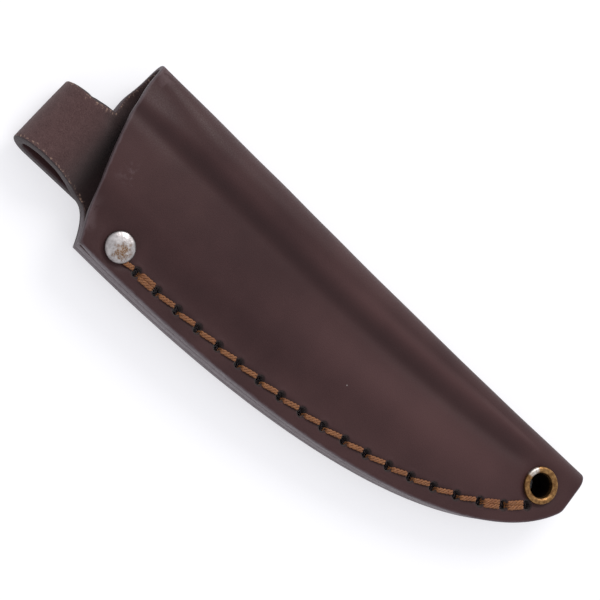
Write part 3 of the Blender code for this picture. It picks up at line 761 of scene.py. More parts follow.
def blank_points():
    coarse = scattered(OUTLINE.min(0), OUTLINE.max(0), SCATTER)
    away, _ = nearest(on_panel(coarse), STITCH_FINE)
    sewn = (coarse[:, 0] > LOOP_START + 5 * MM) & (np.abs(coarse[:, 1]) > QUARTER_FOLD)
    coarse = coarse[~(sewn & (away < BAND + 0.6 * SCATTER))]
    return np.vstack([coarse, stitch_band(1), stitch_band(-1)])


def leather_place(flats, below):
    fade = 1 - np.clip(below / LEATHER, 0, 1)
    away, _ = nearest(flats, BOTH_MOUTHS)
    pared = PARED_TO + (1 - PARED_TO) * ease(away / PARED_REACH)
    return folded(flats[:, 0], flats[:, 1], below * pared, relief(flats) * fade)


leather_mesh, leather_flats = thick_sheet(
    "sheath_body", OUTLINE, BLANK_HOLES, blank_points(), LEATHER, ROUNDING, leather_place, FLESH)
print(f"leather: {len(leather_mesh.polygons)} faces")

# %% [markdown]
# ## Where the leather is worn and where shade and a highlight are painted
# A finish has to know where it is on the sheath. Distances and strengths are stored on the mesh's
# points as attributes, which turn and travel with the piece: distance from the edge and from the
# mouth, the stitch channel, the hollow of the valley that gets painted shade, the raised parts that
# get a painted highlight, the strap, and the inside of the pocket, which gets painted shade.

# %% Measure the leather
flat_x = leather_flats[:, 0]
face_x, face_depth = on_panel(leather_flats).T
on_back = leather_flats[:, 1] < -5 * MM
on_front = (leather_flats[:, 1] > 0) * (1 - ease((face_x - 128 * MM) / (14 * MM)))
from_valley = face_depth - np.interp(face_x, VALLEY[:, 0], VALLEY[:, 1])
over_blade = bump(from_valley, 9.5 * MM, 6.5 * MM)
over_roll = bump(from_valley, -4.9 * MM, 1.9 * MM)


def away_from(line):
    return nearest(leather_flats, line)[0] / MM


measured = {
    "from_edge": away_from(respaced(np.vstack([OUTLINE, OUTLINE[:1]]), 0.3 * MM)),
    "from_mouth": away_from(MOUTH_LINE),
    "mouth_edge": 1 - ease(away_from(BOTH_MOUTHS) / 2),
    "sewn_channel": seam_masks(leather_flats)[0],
    "strap": on_back * (1 - ease((flat_x + 5 * MM) / (5 * MM))),
    # hollow: where painted shade goes, in the valley beside the spine roll
    "hollow": on_front * bump(from_valley, 0.2 * MM, 2.4 * MM),
    # raised: where a painted highlight goes, over the blade and along the spine roll
    "raised": on_front * (over_blade + 0.9 * over_roll) * ease((face_x - 40 * MM) / (45 * MM)),
    # inside: where painted shade goes, inside the pocket and on the strap near the mouth
    "inside": np.where(on_back, ease((flat_x + 24 * MM) / (17 * MM)), 1.0),
}
for name, values in measured.items():
    store(leather_mesh, name, values)
    print(f"{name}: {values.min():.2f} to {values.max():.2f}")

# %% [markdown]
# ## The welt
# A strip of leather between front and back keeps the blade's edge off the stitches. In a real
# sheath it is glued and sanded flush, so here it fills the whole space between the panels and only
# its slightly rounded edge shows as two fine lines along the seam.

# %% Build the welt
WELT_TIP = 24.5 * MM
WELT_THICK = STACK - 2 * LEATHER - 0.04 * MM


def welt_outline():
    spine_side = float(spine_radius(SEAM_LENGTH)) + GAP
    tip_start = SEAM_LENGTH - WELT_TIP
    outer = seam_edge(EDGE_STEP)
    outer = outer[(outer[:, 0] > 0.8 * MM) & (outer[:, 1] > spine_side + 0.3 * MM)]
    inner = respaced(WELT_LINE, EDGE_STEP)
    inner = inner[(inner[:, 0] > outer[0, 0]) & (inner[:, 0] < tip_start - WELT_WIDTH / 2)][::-1]
    spine_end = respaced(np.array(((SEAM_LENGTH, spine_side), (tip_start, spine_side))), EDGE_STEP)
    slant = respaced(np.array((spine_end[-1], inner[0])), EDGE_STEP)[1:-1]
    return np.vstack([outer, spine_end, slant, inner])


def welt_place(flats, below):
    top = base(flats[:, 0]) + STACK - LEATHER - 0.02 * MM
    return np.stack([flats[:, 0], flats[:, 1], top - below], 1)


welt_holes = [awl_hole(i, -0.2 * MM) for i in range(len(HOLES))]
welt_holes += [punched(RIVET_AT, RIVET_HOLE, 28), punched(EYELET_AT, EYELET_HOLE, 48)]
WELT_OUTLINE = welt_outline()
welt_inner = scattered(WELT_OUTLINE.min(0), WELT_OUTLINE.max(0), 1.6 * MM)
welt_mesh, welt_flats = thick_sheet(
    "welt_layer", WELT_OUTLINE, welt_holes, welt_inner, WELT_THICK, 0.22 * MM, welt_place)
welt_away, _ = nearest(welt_flats, respaced(np.vstack([WELT_OUTLINE, WELT_OUTLINE[:1]]), 0.3 * MM))
store(welt_mesh, "from_edge", welt_away / MM)
print(f"welt: {len(welt_mesh.polygons)} faces, {WELT_THICK / MM:.2f} mm thick")

# %% [markdown]
# ## Turned metal pieces
# The rivet and the eyelet are round, so each is a profile swept round an axis. A slow ripple in the
# height stands for the marks of the setting tool. Profiles run from the top outwards and down; one
# that reaches the axis at both ends makes a solid, one that closes on itself makes a ring.

# %% Turn the metal


def turned(name, profile, centre, sides, ripple=0.0):
    """Sweep (radius, height) points round a vertical axis at a layout place."""
    profile = np.asarray(profile, float)
    ring = profile[0, 0] > 0
    places, faces, starts = [], [], []
    for radius, height in profile:
        starts.append(len(places))
        count = sides if radius > 0 else 1
        for k in range(count):
            angle = 2 * math.pi * k / sides
            wobble = ripple * noise.noise((3 * radius / MM * math.cos(angle) / 4,
                                           3 * radius / MM * math.sin(angle) / 4, height / MM))
            places.append((centre[0] + radius * math.cos(angle),
                           centre[1] - radius * math.sin(angle), height + wobble))
    rows = list(range(len(profile))) + ([0] if ring else [])
    for a, b in zip(rows, rows[1:]):
        wide_a, wide_b = profile[a, 0] > 0, profile[b, 0] > 0
        for k in range(sides):
            n = (k + 1) % sides
            corner = [starts[a] + k * wide_a, starts[b] + k * wide_b, starts[b] + n * wide_b,
                      starts[a] + n * wide_a]
            faces.append(list(dict.fromkeys(corner)))
    mesh = bpy.data.meshes.new(name)
    mesh.from_pydata(in_frame(places).tolist(), [], faces)
    mesh.polygons.foreach_set("use_smooth", [True] * len(faces))
    return mesh


def curve_profile(points, rounds=2):
    """Corner cutting: softens a profile drawn with few points, keeping its ends."""
    points = np.asarray(points, float)
    for _ in range(rounds):
        near = points[:-1] * 0.75 + points[1:] * 0.25
        far = points[:-1] * 0.25 + points[1:] * 0.75
        points = np.vstack([points[:1], np.stack([near, far], 1).reshape(-1, 2), points[-1:]])
    return points


seam_top = float(base(RIVET_AT[0])) + STACK
CAP_RADIUS, CAP_TOP = 4.3 * MM, seam_top + 1.62 * MM
cap_outline = curve_profile(np.array((
    (0.0, CAP_TOP), (1.5 * MM, CAP_TOP), (3.2 * MM, CAP_TOP - 0.30 * MM),
    (4.15 * MM, CAP_TOP - 0.75 * MM), (CAP_RADIUS, CAP_TOP - 1.35 * MM),
    (4.2 * MM, seam_top - 0.12 * MM), (3.6 * MM, seam_top - 0.2 * MM))), 3)
cap_shank = np.array(((2.0 * MM, seam_top - 0.2 * MM), (2.0 * MM, 5.3 * MM), (0.0, 5.3 * MM)))
cap_mesh = turned("rivet_head", np.vstack([cap_outline, cap_shank]), RIVET_AT, 72, 0.05 * MM)
base_outline = np.array(((0, 5.2), (1.1, 5.2), (1.1, 1.05), (3.7, 1.05), (4.0, 0.8), (4.0, 0.45),
                         (3.75, 0.2), (0, 0.16))) * MM
base_mesh = turned("rivet_back", base_outline, RIVET_AT, 64)

tip_top = TIP_BASE + STACK
ring_top = curve_profile(np.array((
    (5.05, -0.28), (5.25, 0.05), (5.2, 0.75), (4.75, 1.08), (3.95, 1.0), (3.45, 0.6),
    (3.4, 0.0))) * MM, 3) + (0, tip_top)
barrel = np.array(((3.4, 1.2), (3.5, 0.6), (3.8, 0.25), (4.4, 0.05), (4.95, 0.1), (5.15, 0.35),
                   (4.9, 0.5), (4.1, 0.62), (3.9, 0.9))) * MM
under = np.array(((3.9 * MM, tip_top - 0.3 * MM),))
eyelet_mesh = turned("eyelet_ring", np.vstack([ring_top, barrel, under]), EYELET_AT, 88, 0.04 * MM)
washer_outline = np.array(((4.2, 1.25), (5.2, 1.28), (5.33, 1.15), (5.33, 0.95), (5.2, 0.82),
                           (4.2, 0.82))) * MM
washer_mesh = turned("eyelet_back_ring", washer_outline, EYELET_AT, 72)
for mesh in (cap_mesh, base_mesh, eyelet_mesh, washer_mesh):
    print(mesh.name, len(mesh.polygons), "faces")

# %% [markdown]
# ## A small kit for node trees
# Materials and Geometry Nodes are both node trees. These helpers add a node, set its options and
# inputs, and link any input that is given another node's socket.

# %% Node helpers


def add(tree, kind, settings=None, inputs=None):
    made = tree.nodes.new(kind)
    for name, value in (settings or {}).items():
        setattr(made, name, value)
    for name, value in (inputs or {}).items():
        if isinstance(value, bpy.types.NodeSocket):
            tree.links.new(value, made.inputs[name])
        else:
            made.inputs[name].default_value = value
    return made


def sums(tree, operation, a, b=0.0, c=0.0):
    return add(tree, "ShaderNodeMath", {"operation": operation}, {0: a, 1: b, 2: c}).outputs[0]


def vectors(tree, operation, a, b=None, scale=None):
    inputs = {0: a}
    if b is not None:
        inputs[1] = b
    if scale is not None:
        inputs["Scale"] = scale
    made = add(tree, "ShaderNodeVectorMath", {"operation": operation}, inputs)
    return made.outputs["Value" if operation in ("LENGTH", "DISTANCE") else "Vector"]


def ramped(tree, value, low, high, to_low=0.0, to_high=1.0):
    return add(tree, "ShaderNodeMapRange", {"interpolation_type": "SMOOTHSTEP"}, {
        "Value": value, "From Min": low, "From Max": high, "To Min": to_low,
        "To Max": to_high}).outputs["Result"]


def blended(tree, factor, a, b):
    return add(tree, "ShaderNodeMix", {"data_type": "RGBA"}, {0: factor, 6: a, 7: b}).outputs[2]


def noise_at(tree, vector, scale, detail=2.0, roughness=0.5):
    return add(tree, "ShaderNodeTexNoise", None, {
        "Vector": vector, "Scale": scale, "Detail": detail, "Roughness": roughness}).outputs[0]


def group(kind, name, inputs, outputs):
    """A node group with named sockets: returns the tree, its inputs and its output node."""
    tree = bpy.data.node_groups.new(name, kind)
    for direction, sockets in (("INPUT", inputs), ("OUTPUT", outputs)):
        for socket, (socket_type, value) in sockets.items():
            made = tree.interface.new_socket(socket, in_out=direction, socket_type=socket_type)
            if value is not None:
                made.default_value = value
    return tree, tree.nodes.new("NodeGroupInput").outputs, tree.nodes.new("NodeGroupOutput")


def placed_group(tree, shared, **inputs):
    made = add(tree, "ShaderNodeGroup", {"node_tree": shared})
    for name, value in inputs.items():
        socket = made.inputs[name.replace("_", " ")]
        if isinstance(value, bpy.types.NodeSocket):
            tree.links.new(value, socket)
        else:
            socket.default_value = value
    return made.outputs


def srgb(red, green, blue):
    """A colour as seen, 0 to 255, in the linear values that shaders use."""
    parts = [c / 255 for c in (red, green, blue)]
    return (*[c / 12.92 if c < 0.04045 else ((c + 0.055) / 1.055) ** 2.4 for c in parts], 1.0)


print("mid brown in linear values:", [round(c, 4) for c in srgb(66, 46, 47)])

# %% [markdown]
# ## Shared surface effects
# Four effects are used by more than one finish, so each is a node group: the pebbled grain of hide,
# loose fibres, wear near an edge, and dust. Each gives out only masks and heights, and the material
# that uses it decides on colours.

# %% Shared effects
FLOAT, VECTOR = "NodeSocketFloat", "NodeSocketVector"


def hide_grain():
    tree, given, out = group("ShaderNodeTree", "hide_grain", {
        "Vector": (VECTOR, None), "Cells": (FLOAT, 1300.0), "Mottle": (FLOAT, 45.0)},
        {"Height": (FLOAT, None), "Tone": (FLOAT, None)})
    shift = add(tree, "ShaderNodeTexNoise", None, {
        "Vector": given["Vector"], "Scale": sums(tree, "MULTIPLY", given["Cells"], 0.45),
        "Detail": 1.0}).outputs["Color"]
    offset = vectors(tree, "SCALE", vectors(tree, "SUBTRACT", shift, (0.5, 0.5, 0.5)), scale=0.0011)
    bent = vectors(tree, "ADD", given["Vector"], offset)
    cells = add(tree, "ShaderNodeTexVoronoi", {"feature": "DISTANCE_TO_EDGE"}, {
        "Vector": bent, "Scale": given["Cells"]}).outputs["Distance"]
    pebble = ramped(tree, cells, 0.0, 0.22)
    fine = noise_at(tree, given["Vector"], sums(tree, "MULTIPLY", given["Cells"], 1.9), 3.0, 0.6)
    slow = noise_at(tree, given["Vector"], given["Mottle"], 3.0, 0.55)
    height = sums(tree, "MULTIPLY_ADD", pebble, 0.55, sums(tree, "MULTIPLY", fine, 0.75))
    tree.links.new(height, out.inputs["Height"])
    tone = ramped(tree, sums(tree, "MULTIPLY_ADD", fine, 0.35, slow), 0.45, 0.95)
    tree.links.new(tone, out.inputs["Tone"])
    return tree


def loose_fibres():
    tree, given, out = group("ShaderNodeTree", "loose_fibres", {
        "Vector": (VECTOR, None), "Fineness": (FLOAT, 2500.0)},
        {"Height": (FLOAT, None), "Tone": (FLOAT, None)})
    curl = add(tree, "ShaderNodeTexNoise", None, {
        "Vector": given["Vector"], "Scale": sums(tree, "MULTIPLY", given["Fineness"], 0.25),
        "Detail": 2.0}).outputs["Color"]
    offset = vectors(tree, "SCALE", vectors(tree, "SUBTRACT", curl, (0.5, 0.5, 0.5)), scale=0.0020)
    bent = vectors(tree, "ADD", given["Vector"], offset)
    hairs = noise_at(tree, bent, given["Fineness"], 4.0, 0.7)
    clumps = noise_at(tree, given["Vector"], sums(tree, "MULTIPLY", given["Fineness"], 0.16), 2.0)
    height = sums(tree, "MULTIPLY_ADD", clumps, 0.6, hairs)
    tree.links.new(height, out.inputs["Height"])
    tone = ramped(tree, sums(tree, "MULTIPLY_ADD", clumps, 0.16, hairs), 0.36, 0.80)
    tree.links.new(tone, out.inputs["Tone"])
    return tree


def edge_wear():
    tree, given, out = group("ShaderNodeTree", "edge_wear", {
        "Vector": (VECTOR, None), "Distance": (FLOAT, 0.0), "Width": (FLOAT, 1.0),
        "Breakup": (FLOAT, 900.0), "Unevenness": (FLOAT, 0.8)}, {"Mask": (FLOAT, None)})
    rough = noise_at(tree, given["Vector"], given["Breakup"], 3.0, 0.6)
    bite = sums(tree, "MULTIPLY", sums(tree, "SUBTRACT", rough, 0.5), given["Unevenness"])
    share = sums(tree, "DIVIDE", given["Distance"], given["Width"])
    mask = ramped(tree, sums(tree, "MULTIPLY_ADD", bite, 2.0, share), 0.15, 1.0, 1.0, 0.0)
    tree.links.new(mask, out.inputs["Mask"])
    return tree


def dust():
    tree, given, out = group("ShaderNodeTree", "dust", {
        "Vector": (VECTOR, None), "Specks": (FLOAT, 130.0), "Rarity": (FLOAT, 0.86)},
        {"Mask": (FLOAT, None)})
    cells = add(tree, "ShaderNodeTexVoronoi", {"feature": "F1"}, {
        "Vector": given["Vector"], "Scale": given["Specks"]})
    picked = sums(tree, "GREATER_THAN", add(tree, "ShaderNodeSeparateColor", None, {
        "Color": cells.outputs["Color"]}).outputs["Red"], given["Rarity"])
    dot = ramped(tree, cells.outputs["Distance"], 0.02, 0.045, 1.0, 0.0)
    tree.links.new(sums(tree, "MULTIPLY", dot, picked), out.inputs["Mask"])
    return tree


GRAIN_GROUP, FIBRE_GROUP, WEAR_GROUP, DUST_GROUP = hide_grain(), loose_fibres(), edge_wear(), dust()
print("shared effects:", [g.name for g in bpy.data.node_groups])

# %% [markdown]
# ## Finishes
# Each finish starts from a Principled shader. Constants sit on its own sockets, and the groups drive
# only colour, roughness and bump.

# %% Material helpers


def finish(name, **constants):
    """A material: returns it, its tree, its shader and the Object coordinates."""
    material = bpy.data.materials.new(name)
    material.use_nodes = True
    tree = material.node_tree
    shader = tree.nodes["Principled BSDF"]
    for socket, value in constants.items():
        shader.inputs[socket.replace("_", " ")].default_value = value
    return material, tree, shader, tree.nodes.new("ShaderNodeTexCoord").outputs["Object"]


def measure(tree, name):
    return add(tree, "ShaderNodeAttribute", {"attribute_name": name}).outputs["Fac"]


def painted(tree, colour, mask, strength, *paint):
    """The colour with a paint, 0 to 255, laid over it where the mask is high."""
    return blended(tree, sums(tree, "MULTIPLY", mask, strength), colour, srgb(*paint))


def worn_near(tree, place, name, width, breakup, unevenness):
    """Wear where a stored distance is small."""
    return placed_group(tree, WEAR_GROUP, Vector=place, Distance=measure(tree, name), Width=width,
                        Breakup=breakup, Unevenness=unevenness)["Mask"]


def dusted(tree, place, colour, specks, rarity, strength, *paint):
    mask = placed_group(tree, DUST_GROUP, Vector=place, Specks=specks, Rarity=rarity)["Mask"]
    return painted(tree, colour, mask, strength, *paint)


def centred(tree, place, centre):
    """Coordinates measured from a place of the frame."""
    return add(tree, "ShaderNodeMapping", None, {
        "Vector": place, "Location": tuple(-centre)}).outputs["Vector"]


def bumped(tree, shader, height, distance, strength=1.0):
    relief_node = add(tree, "ShaderNodeBump", None, {
        "Strength": strength, "Distance": distance, "Height": height})
    tree.links.new(relief_node.outputs["Normal"], shader.inputs["Normal"])


def wired(tree, shader, colour, roughness=None):
    tree.links.new(colour, shader.inputs["Base Color"])
    if roughness is not None:
        tree.links.new(roughness, shader.inputs["Roughness"])


print("shared groups the finishes can use:", len(bpy.data.node_groups))

# %% [markdown]
# ## Smooth brown grain
# The outside is dyed, waxed leather: a very fine pebble, slow changes of tone, a paler worn line at
# the cut edges, small scuffs beside the mouth, a painted highlight over the blade and the spine
# roll, painted shade in the valley, a darker stitch channel, and a little dust.

# %% Grain finish


def grain_leather():
    material, tree, shader, place = finish(
        "grain_leather", Specular_IOR_Level=0.20, Coat_Weight=0.02, Coat_Roughness=0.4)
    grain = placed_group(tree, GRAIN_GROUP, Vector=place, Cells=1500.0, Mottle=40.0)
    colour = blended(tree, grain["Tone"], srgb(52, 30, 31), srgb(65, 41, 41))
    # Painted highlight over the blade and along the spine roll, on the raised measure.
    colour = painted(tree, colour, measure(tree, "raised"), 0.38, 88, 60, 60)
    # Painted shade in the valley, on the hollow measure.
    colour = painted(tree, colour, measure(tree, "hollow"), 0.42, 38, 20, 21)
    scuff = worn_near(tree, place, "from_mouth", 7.0, 620.0, 1.7)
    patch = ramped(tree, noise_at(tree, place, 95.0, 1.0), 0.52, 0.66)
    scuff = sums(tree, "MULTIPLY", sums(tree, "MULTIPLY", scuff, patch), 0.45)
    colour = blended(tree, scuff, colour, srgb(96, 79, 81))
    edge = worn_near(tree, place, "from_edge", 0.75, 500.0, 0.5)
    colour = painted(tree, colour, edge, 0.55, 96, 82, 87)
    colour = painted(tree, colour, measure(tree, "sewn_channel"), 0.55, 34, 18, 18)
    colour = dusted(tree, place, colour, 110.0, 0.86, 0.75, 205, 198, 196)
    gloss = ramped(tree, grain["Height"], 0.3, 1.1, 0.56, 0.45)
    wired(tree, shader, colour, sums(tree, "MULTIPLY_ADD", scuff, 0.3, gloss))
    bumped(tree, shader, grain["Height"], 0.022 * MM, 0.7)
    return material


GRAIN_LEATHER = grain_leather()
print(GRAIN_LEATHER.name, len(GRAIN_LEATHER.node_tree.nodes), "nodes")

# %% [markdown]
# ## Flesh side
# The inside of the blank, and so the visible face of the belt loop, is suede: matt, warmer, and
# covered in short fibres that stand up as pale tufts at the edges, painted paler partly as a painted
# highlight where they catch the light. Inside the pocket and on the strap near the mouth it is
# painted darker, as painted shade.

# %% Flesh finish


def suede_flesh():
    material, tree, shader, place = finish(
        "suede_flesh", Specular_IOR_Level=0.2, Sheen_Weight=0.12, Sheen_Roughness=0.6)
    fibre = placed_group(tree, FIBRE_GROUP, Vector=place, Fineness=3300.0)
    colour = blended(tree, fibre["Tone"], srgb(62, 41, 41), srgb(88, 64, 63))
    # Painted shade inside the pocket and on the strap near the mouth, on the inside measure.
    colour = painted(tree, colour, measure(tree, "inside"), 0.8, 34, 21, 21)
    # Frayed edges and tufts are painted paler: partly the loose fibres' own colour, partly a painted
    # highlight where they catch the light.
    frayed_edge_highlight = worn_near(tree, place, "from_edge", 1.1, 1100.0, 1.6)
    tuft_highlight = ramped(tree, noise_at(tree, place, 1500.0, 2.0, 0.7), 0.53, 0.62)
    colour = painted(tree, colour, frayed_edge_highlight, 0.3, 98, 78, 76)
    colour = painted(tree, colour, frayed_edge_highlight, tuft_highlight, 156, 128, 112)
    wired(tree, shader, colour, ramped(tree, fibre["Height"], 0.3, 1.3, 0.98, 0.85))
    bumped(tree, shader, fibre["Height"], 0.09 * MM, 1.0)
    return material


SUEDE_FLESH = suede_flesh()
print(SUEDE_FLESH.name, len(SUEDE_FLESH.node_tree.nodes), "nodes")

# %% [markdown]
# ## Cut edges
# The cut edges were dyed, wetted and rubbed smooth. They are painted greyer than the face, partly as
# their own colour and partly as a painted reflection of the pale floor and surround, with the
# leather's layers showing as long streaks that run along the sheath. Along the strap and at the
# mouths they are darker.

# %% Edge finish


def burnished_edge(name, dark, pale):
    material, tree, shader, place = finish(name, Specular_IOR_Level=0.35)
    stretched = add(tree, "ShaderNodeMapping", None, {
        "Vector": place, "Scale": (0.22, 0.35, 1.6)}).outputs["Vector"]
    fibre = placed_group(tree, FIBRE_GROUP, Vector=stretched, Fineness=2200.0)
    grain = placed_group(tree, GRAIN_GROUP, Vector=place, Cells=1800.0, Mottle=90.0)
    # Grey from dark to pale: partly the edge's own colour, partly a painted reflection of the floor
    # and surround.
    colour = blended(tree, fibre["Tone"], dark, pale)
    colour = painted(tree, colour, grain["Tone"], 0.35, 62, 46, 48)
    colour = painted(tree, colour, measure(tree, "strap"), 0.92, 42, 28, 29)
    at_mouth = ramped(tree, measure(tree, "mouth_edge"), 0.2, 0.8, 0.0, 0.75)
    colour = blended(tree, at_mouth, colour, srgb(66, 50, 53))
    colour = dusted(tree, place, colour, 260.0, 0.93, 0.6, 178, 170, 170)
    wired(tree, shader, colour, ramped(tree, fibre["Height"], 0.4, 1.3, 0.62, 0.48))
    bumped(tree, shader, fibre["Height"], 0.08 * MM, 0.9)
    return material


CUT_EDGE = burnished_edge("burnished_edge", srgb(82, 70, 74), srgb(114, 105, 109))
WELT_EDGE = burnished_edge("welt_edge", srgb(88, 77, 81), srgb(120, 111, 115))
print("edges:", CUT_EDGE.name, WELT_EDGE.name)

# %% [markdown]
# ## Waxed thread
# Rust-brown waxed linen: three plies, pale where the fibres stand up and dark where wax and dirt
# have settled.

# %% Thread finish


def waxed_thread():
    material, tree, shader, place = finish(
        "linen_thread", Specular_IOR_Level=0.4, Sheen_Weight=0.08, Sheen_Roughness=0.5)
    fibre = placed_group(tree, FIBRE_GROUP, Vector=place, Fineness=3600.0)
    slow = noise_at(tree, place, 380.0, 2.0)
    colour = blended(tree, fibre["Tone"], srgb(88, 49, 25), srgb(158, 102, 56))
    colour = blended(tree, ramped(tree, slow, 0.45, 0.75, 0.0, 0.6), colour, srgb(118, 66, 34))
    wired(tree, shader, colour, ramped(tree, fibre["Height"], 0.4, 1.3, 0.6, 0.42))
    bumped(tree, shader, fibre["Height"], 0.10 * MM, 1.0)
    return material


WAXED_THREAD = waxed_thread()
print(WAXED_THREAD.name)

# %% [markdown]
# ## Worn nickel and old brass
# The rivet was plated, and where it has been rubbed the plating is cloudy and brassy patches show;
# its rolled rim is painted darker, as painted shade. The eyelet is old brass under a brown lacquer,
# with a painted highlight on one side of its ring and its inside painted nearly black, as painted
# shade.

# %% Metal finishes


def worn_nickel():
    material, tree, shader, place = finish("worn_nickel", Metallic=1.0)
    local = centred(tree, place, in_frame((*RIVET_AT, CAP_TOP))[0])
    cloud = noise_at(tree, local, 700.0, 4.0, 0.65)
    colour = blended(tree, ramped(tree, cloud, 0.25, 0.7), srgb(150, 144, 144), srgb(196, 191, 190))
    patch_from = vectors(tree, "DISTANCE", local, (0.0009, -0.0007, -0.0002))
    reach = sums(tree, "MULTIPLY_ADD", sums(tree, "SUBTRACT", cloud, 0.5), 0.0075, patch_from)
    patch = ramped(tree, reach, 0.0012, 0.0026, 1.0, 0.0)
    speck = ramped(tree, noise_at(tree, local, 2600.0, 2.0), 0.42, 0.6)
    brassy = sums(tree, "MULTIPLY", patch, sums(tree, "MULTIPLY_ADD", speck, 0.6, 0.4))
    colour = blended(tree, brassy, colour, srgb(122, 86, 48))
    # Painted shade on the cap's rolled rim.
    rim_shade = ramped(tree, vectors(tree, "LENGTH", vectors(tree, "MULTIPLY", local, (1, 1, 0))),
                 0.0036, 0.0043)
    colour = painted(tree, colour, rim_shade, 0.6, 96, 84, 82)
    rough = sums(tree, "MULTIPLY_ADD", brassy, 0.2, ramped(tree, cloud, 0.3, 0.7, 0.46, 0.32))
    wired(tree, shader, colour, rough)
    bumped(tree, shader, noise_at(tree, local, 1500.0, 3.0), 0.05 * MM, 0.5)
    return material


def old_brass():
    material, tree, shader, place = finish("old_brass", Metallic=1.0)
    cloud = noise_at(tree, place, 900.0, 4.0, 0.65)
    colour = blended(tree, ramped(tree, cloud, 0.35, 0.72), srgb(112, 80, 50), srgb(172, 132, 84))
    height = add(tree, "ShaderNodeSeparateXYZ", None, {"Vector": place}).outputs["Z"]
    # Painted shade: the inside of the barrel, below the ring's top, is painted nearly black.
    barrel_shade = ramped(tree, height, tip_top - 1.2 * MM, tip_top + 0.5 * MM, 1.0, 0.0)
    local = centred(tree, place, in_frame((*EYELET_AT, tip_top))[0])
    # Painted highlight on one side of the ring's outer edge, pale like bright metal.
    one_side = vectors(tree, "DISTANCE", local, (-0.0047, 0.0016, 0.0004))
    ring_highlight = sums(tree, "MULTIPLY", ramped(tree, one_side, 0.0012, 0.0022, 1.0, 0.0),
                  ramped(tree, cloud, 0.35, 0.6, 0.35, 1.0))
    colour = blended(tree, ring_highlight, colour, srgb(214, 208, 202))
    colour = painted(tree, colour, barrel_shade, 0.96, 16, 10, 9)
    rough = sums(tree, "MULTIPLY_ADD", barrel_shade, 0.4, ramped(tree, cloud, 0.3, 0.7, 0.50, 0.36))
    wired(tree, shader, colour, rough)
    bumped(tree, shader, noise_at(tree, place, 2200.0, 3.0), 0.04 * MM, 0.5)
    return material


WORN_NICKEL, OLD_BRASS = worn_nickel(), old_brass()
print(WORN_NICKEL.name, OLD_BRASS.name)

# %% [markdown]
# ## Stitches with Geometry Nodes
# A seam is one small thing repeated along a path, which is what Geometry Nodes are for. The input is
# a mesh with one loose edge per stitch. The tree turns each edge into a curve, makes three copies,
# winds them round each other as plies, arches them over the leather and dives both ends into the
# holes, then gives them thickness. The seed only turns each stitch's plies a little.

# %% The stitch tree


def stitch_tree():
    tree, given, out = group("GeometryNodeTree", "twisted_stitches", {
        "Geometry": ("NodeSocketGeometry", None), "Ply radius": (FLOAT, 0.32 * MM),
        "Half width": (FLOAT, 0.40 * MM), "Half height": (FLOAT, 0.17 * MM),
        "Turns": (FLOAT, 1.6), "Lift": (FLOAT, 0.12 * MM), "Dive": (FLOAT, 1.5 * MM),
        "Seed": ("NodeSocketInt", 7), "Material": ("NodeSocketMaterial", None)},
        {"Geometry": ("NodeSocketGeometry", None)})
    curves = add(tree, "GeometryNodeMeshToCurve", None, {"Mesh": given["Geometry"]}).outputs["Curve"]
    fine = add(tree, "GeometryNodeResampleCurve", {"mode": "COUNT"}, {
        "Curve": curves, "Count": 34}).outputs["Curve"]
    plies = add(tree, "GeometryNodeDuplicateElements", {"domain": "SPLINE"}, {
        "Geometry": fine, "Amount": 3})
    along = tree.nodes.new("GeometryNodeSplineParameter").outputs["Factor"]
    outward = add(tree, "GeometryNodeInputNamedAttribute", {"data_type": "FLOAT_VECTOR"}, {
        "Name": "outward"}).outputs["Attribute"]
    number = add(tree, "GeometryNodeInputNamedAttribute", {"data_type": "INT"}, {
        "Name": "stitch"}).outputs["Attribute"]
    tangent = tree.nodes.new("GeometryNodeInputTangent").outputs["Tangent"]
    aside = vectors(tree, "NORMALIZE", vectors(tree, "CROSS_PRODUCT", tangent, outward))
    chance = add(tree, "FunctionNodeRandomValue", {"data_type": "FLOAT"}, {
        "Min": 0.0, "Max": 1.0, "ID": number, "Seed": given["Seed"]}).outputs[1]
    share = sums(tree, "DIVIDE", plies.outputs["Duplicate Index"], 3.0)
    phase = sums(tree, "MULTIPLY_ADD", along, given["Turns"], sums(tree, "ADD", share, chance))
    angle = sums(tree, "MULTIPLY", phase, 2 * math.pi)
    sideways = sums(tree, "MULTIPLY", sums(tree, "COSINE", angle), given["Half width"])
    upward = sums(tree, "MULTIPLY", sums(tree, "SINE", angle), given["Half height"])
    ends = sums(tree, "MINIMUM", along, sums(tree, "SUBTRACT", 1.0, along))
    arch = ramped(tree, ends, 0.0, 0.15)
    rise = sums(tree, "MULTIPLY", arch, sums(tree, "ADD", given["Lift"], given["Dive"]))
    height = sums(tree, "ADD", sums(tree, "SUBTRACT", rise, given["Dive"]), upward)
    offset = vectors(tree, "ADD", vectors(tree, "SCALE", aside, scale=sideways),
                     vectors(tree, "SCALE", outward, scale=height))
    wound = add(tree, "GeometryNodeSetPosition", None, {
        "Geometry": plies.outputs["Geometry"], "Offset": offset}).outputs["Geometry"]
    ring = add(tree, "GeometryNodeCurvePrimitiveCircle", None, {
        "Resolution": 8, "Radius": given["Ply radius"]}).outputs["Curve"]
    solid = add(tree, "GeometryNodeCurveToMesh", None, {
        "Curve": wound, "Profile Curve": ring, "Fill Caps": True}).outputs["Mesh"]
    smooth = add(tree, "GeometryNodeSetShadeSmooth", None, {"Geometry": solid}).outputs["Geometry"]
    real = add(tree, "GeometryNodeRealizeInstances", None, {"Geometry": smooth}).outputs["Geometry"]
    done = add(tree, "GeometryNodeSetMaterial", None, {
        "Geometry": real, "Material": given["Material"]}).outputs["Geometry"]
    tree.links.new(done, out.inputs["Geometry"])
    return tree


STITCH_TREE = stitch_tree()
print("stitch tree:", len(STITCH_TREE.nodes), "nodes")

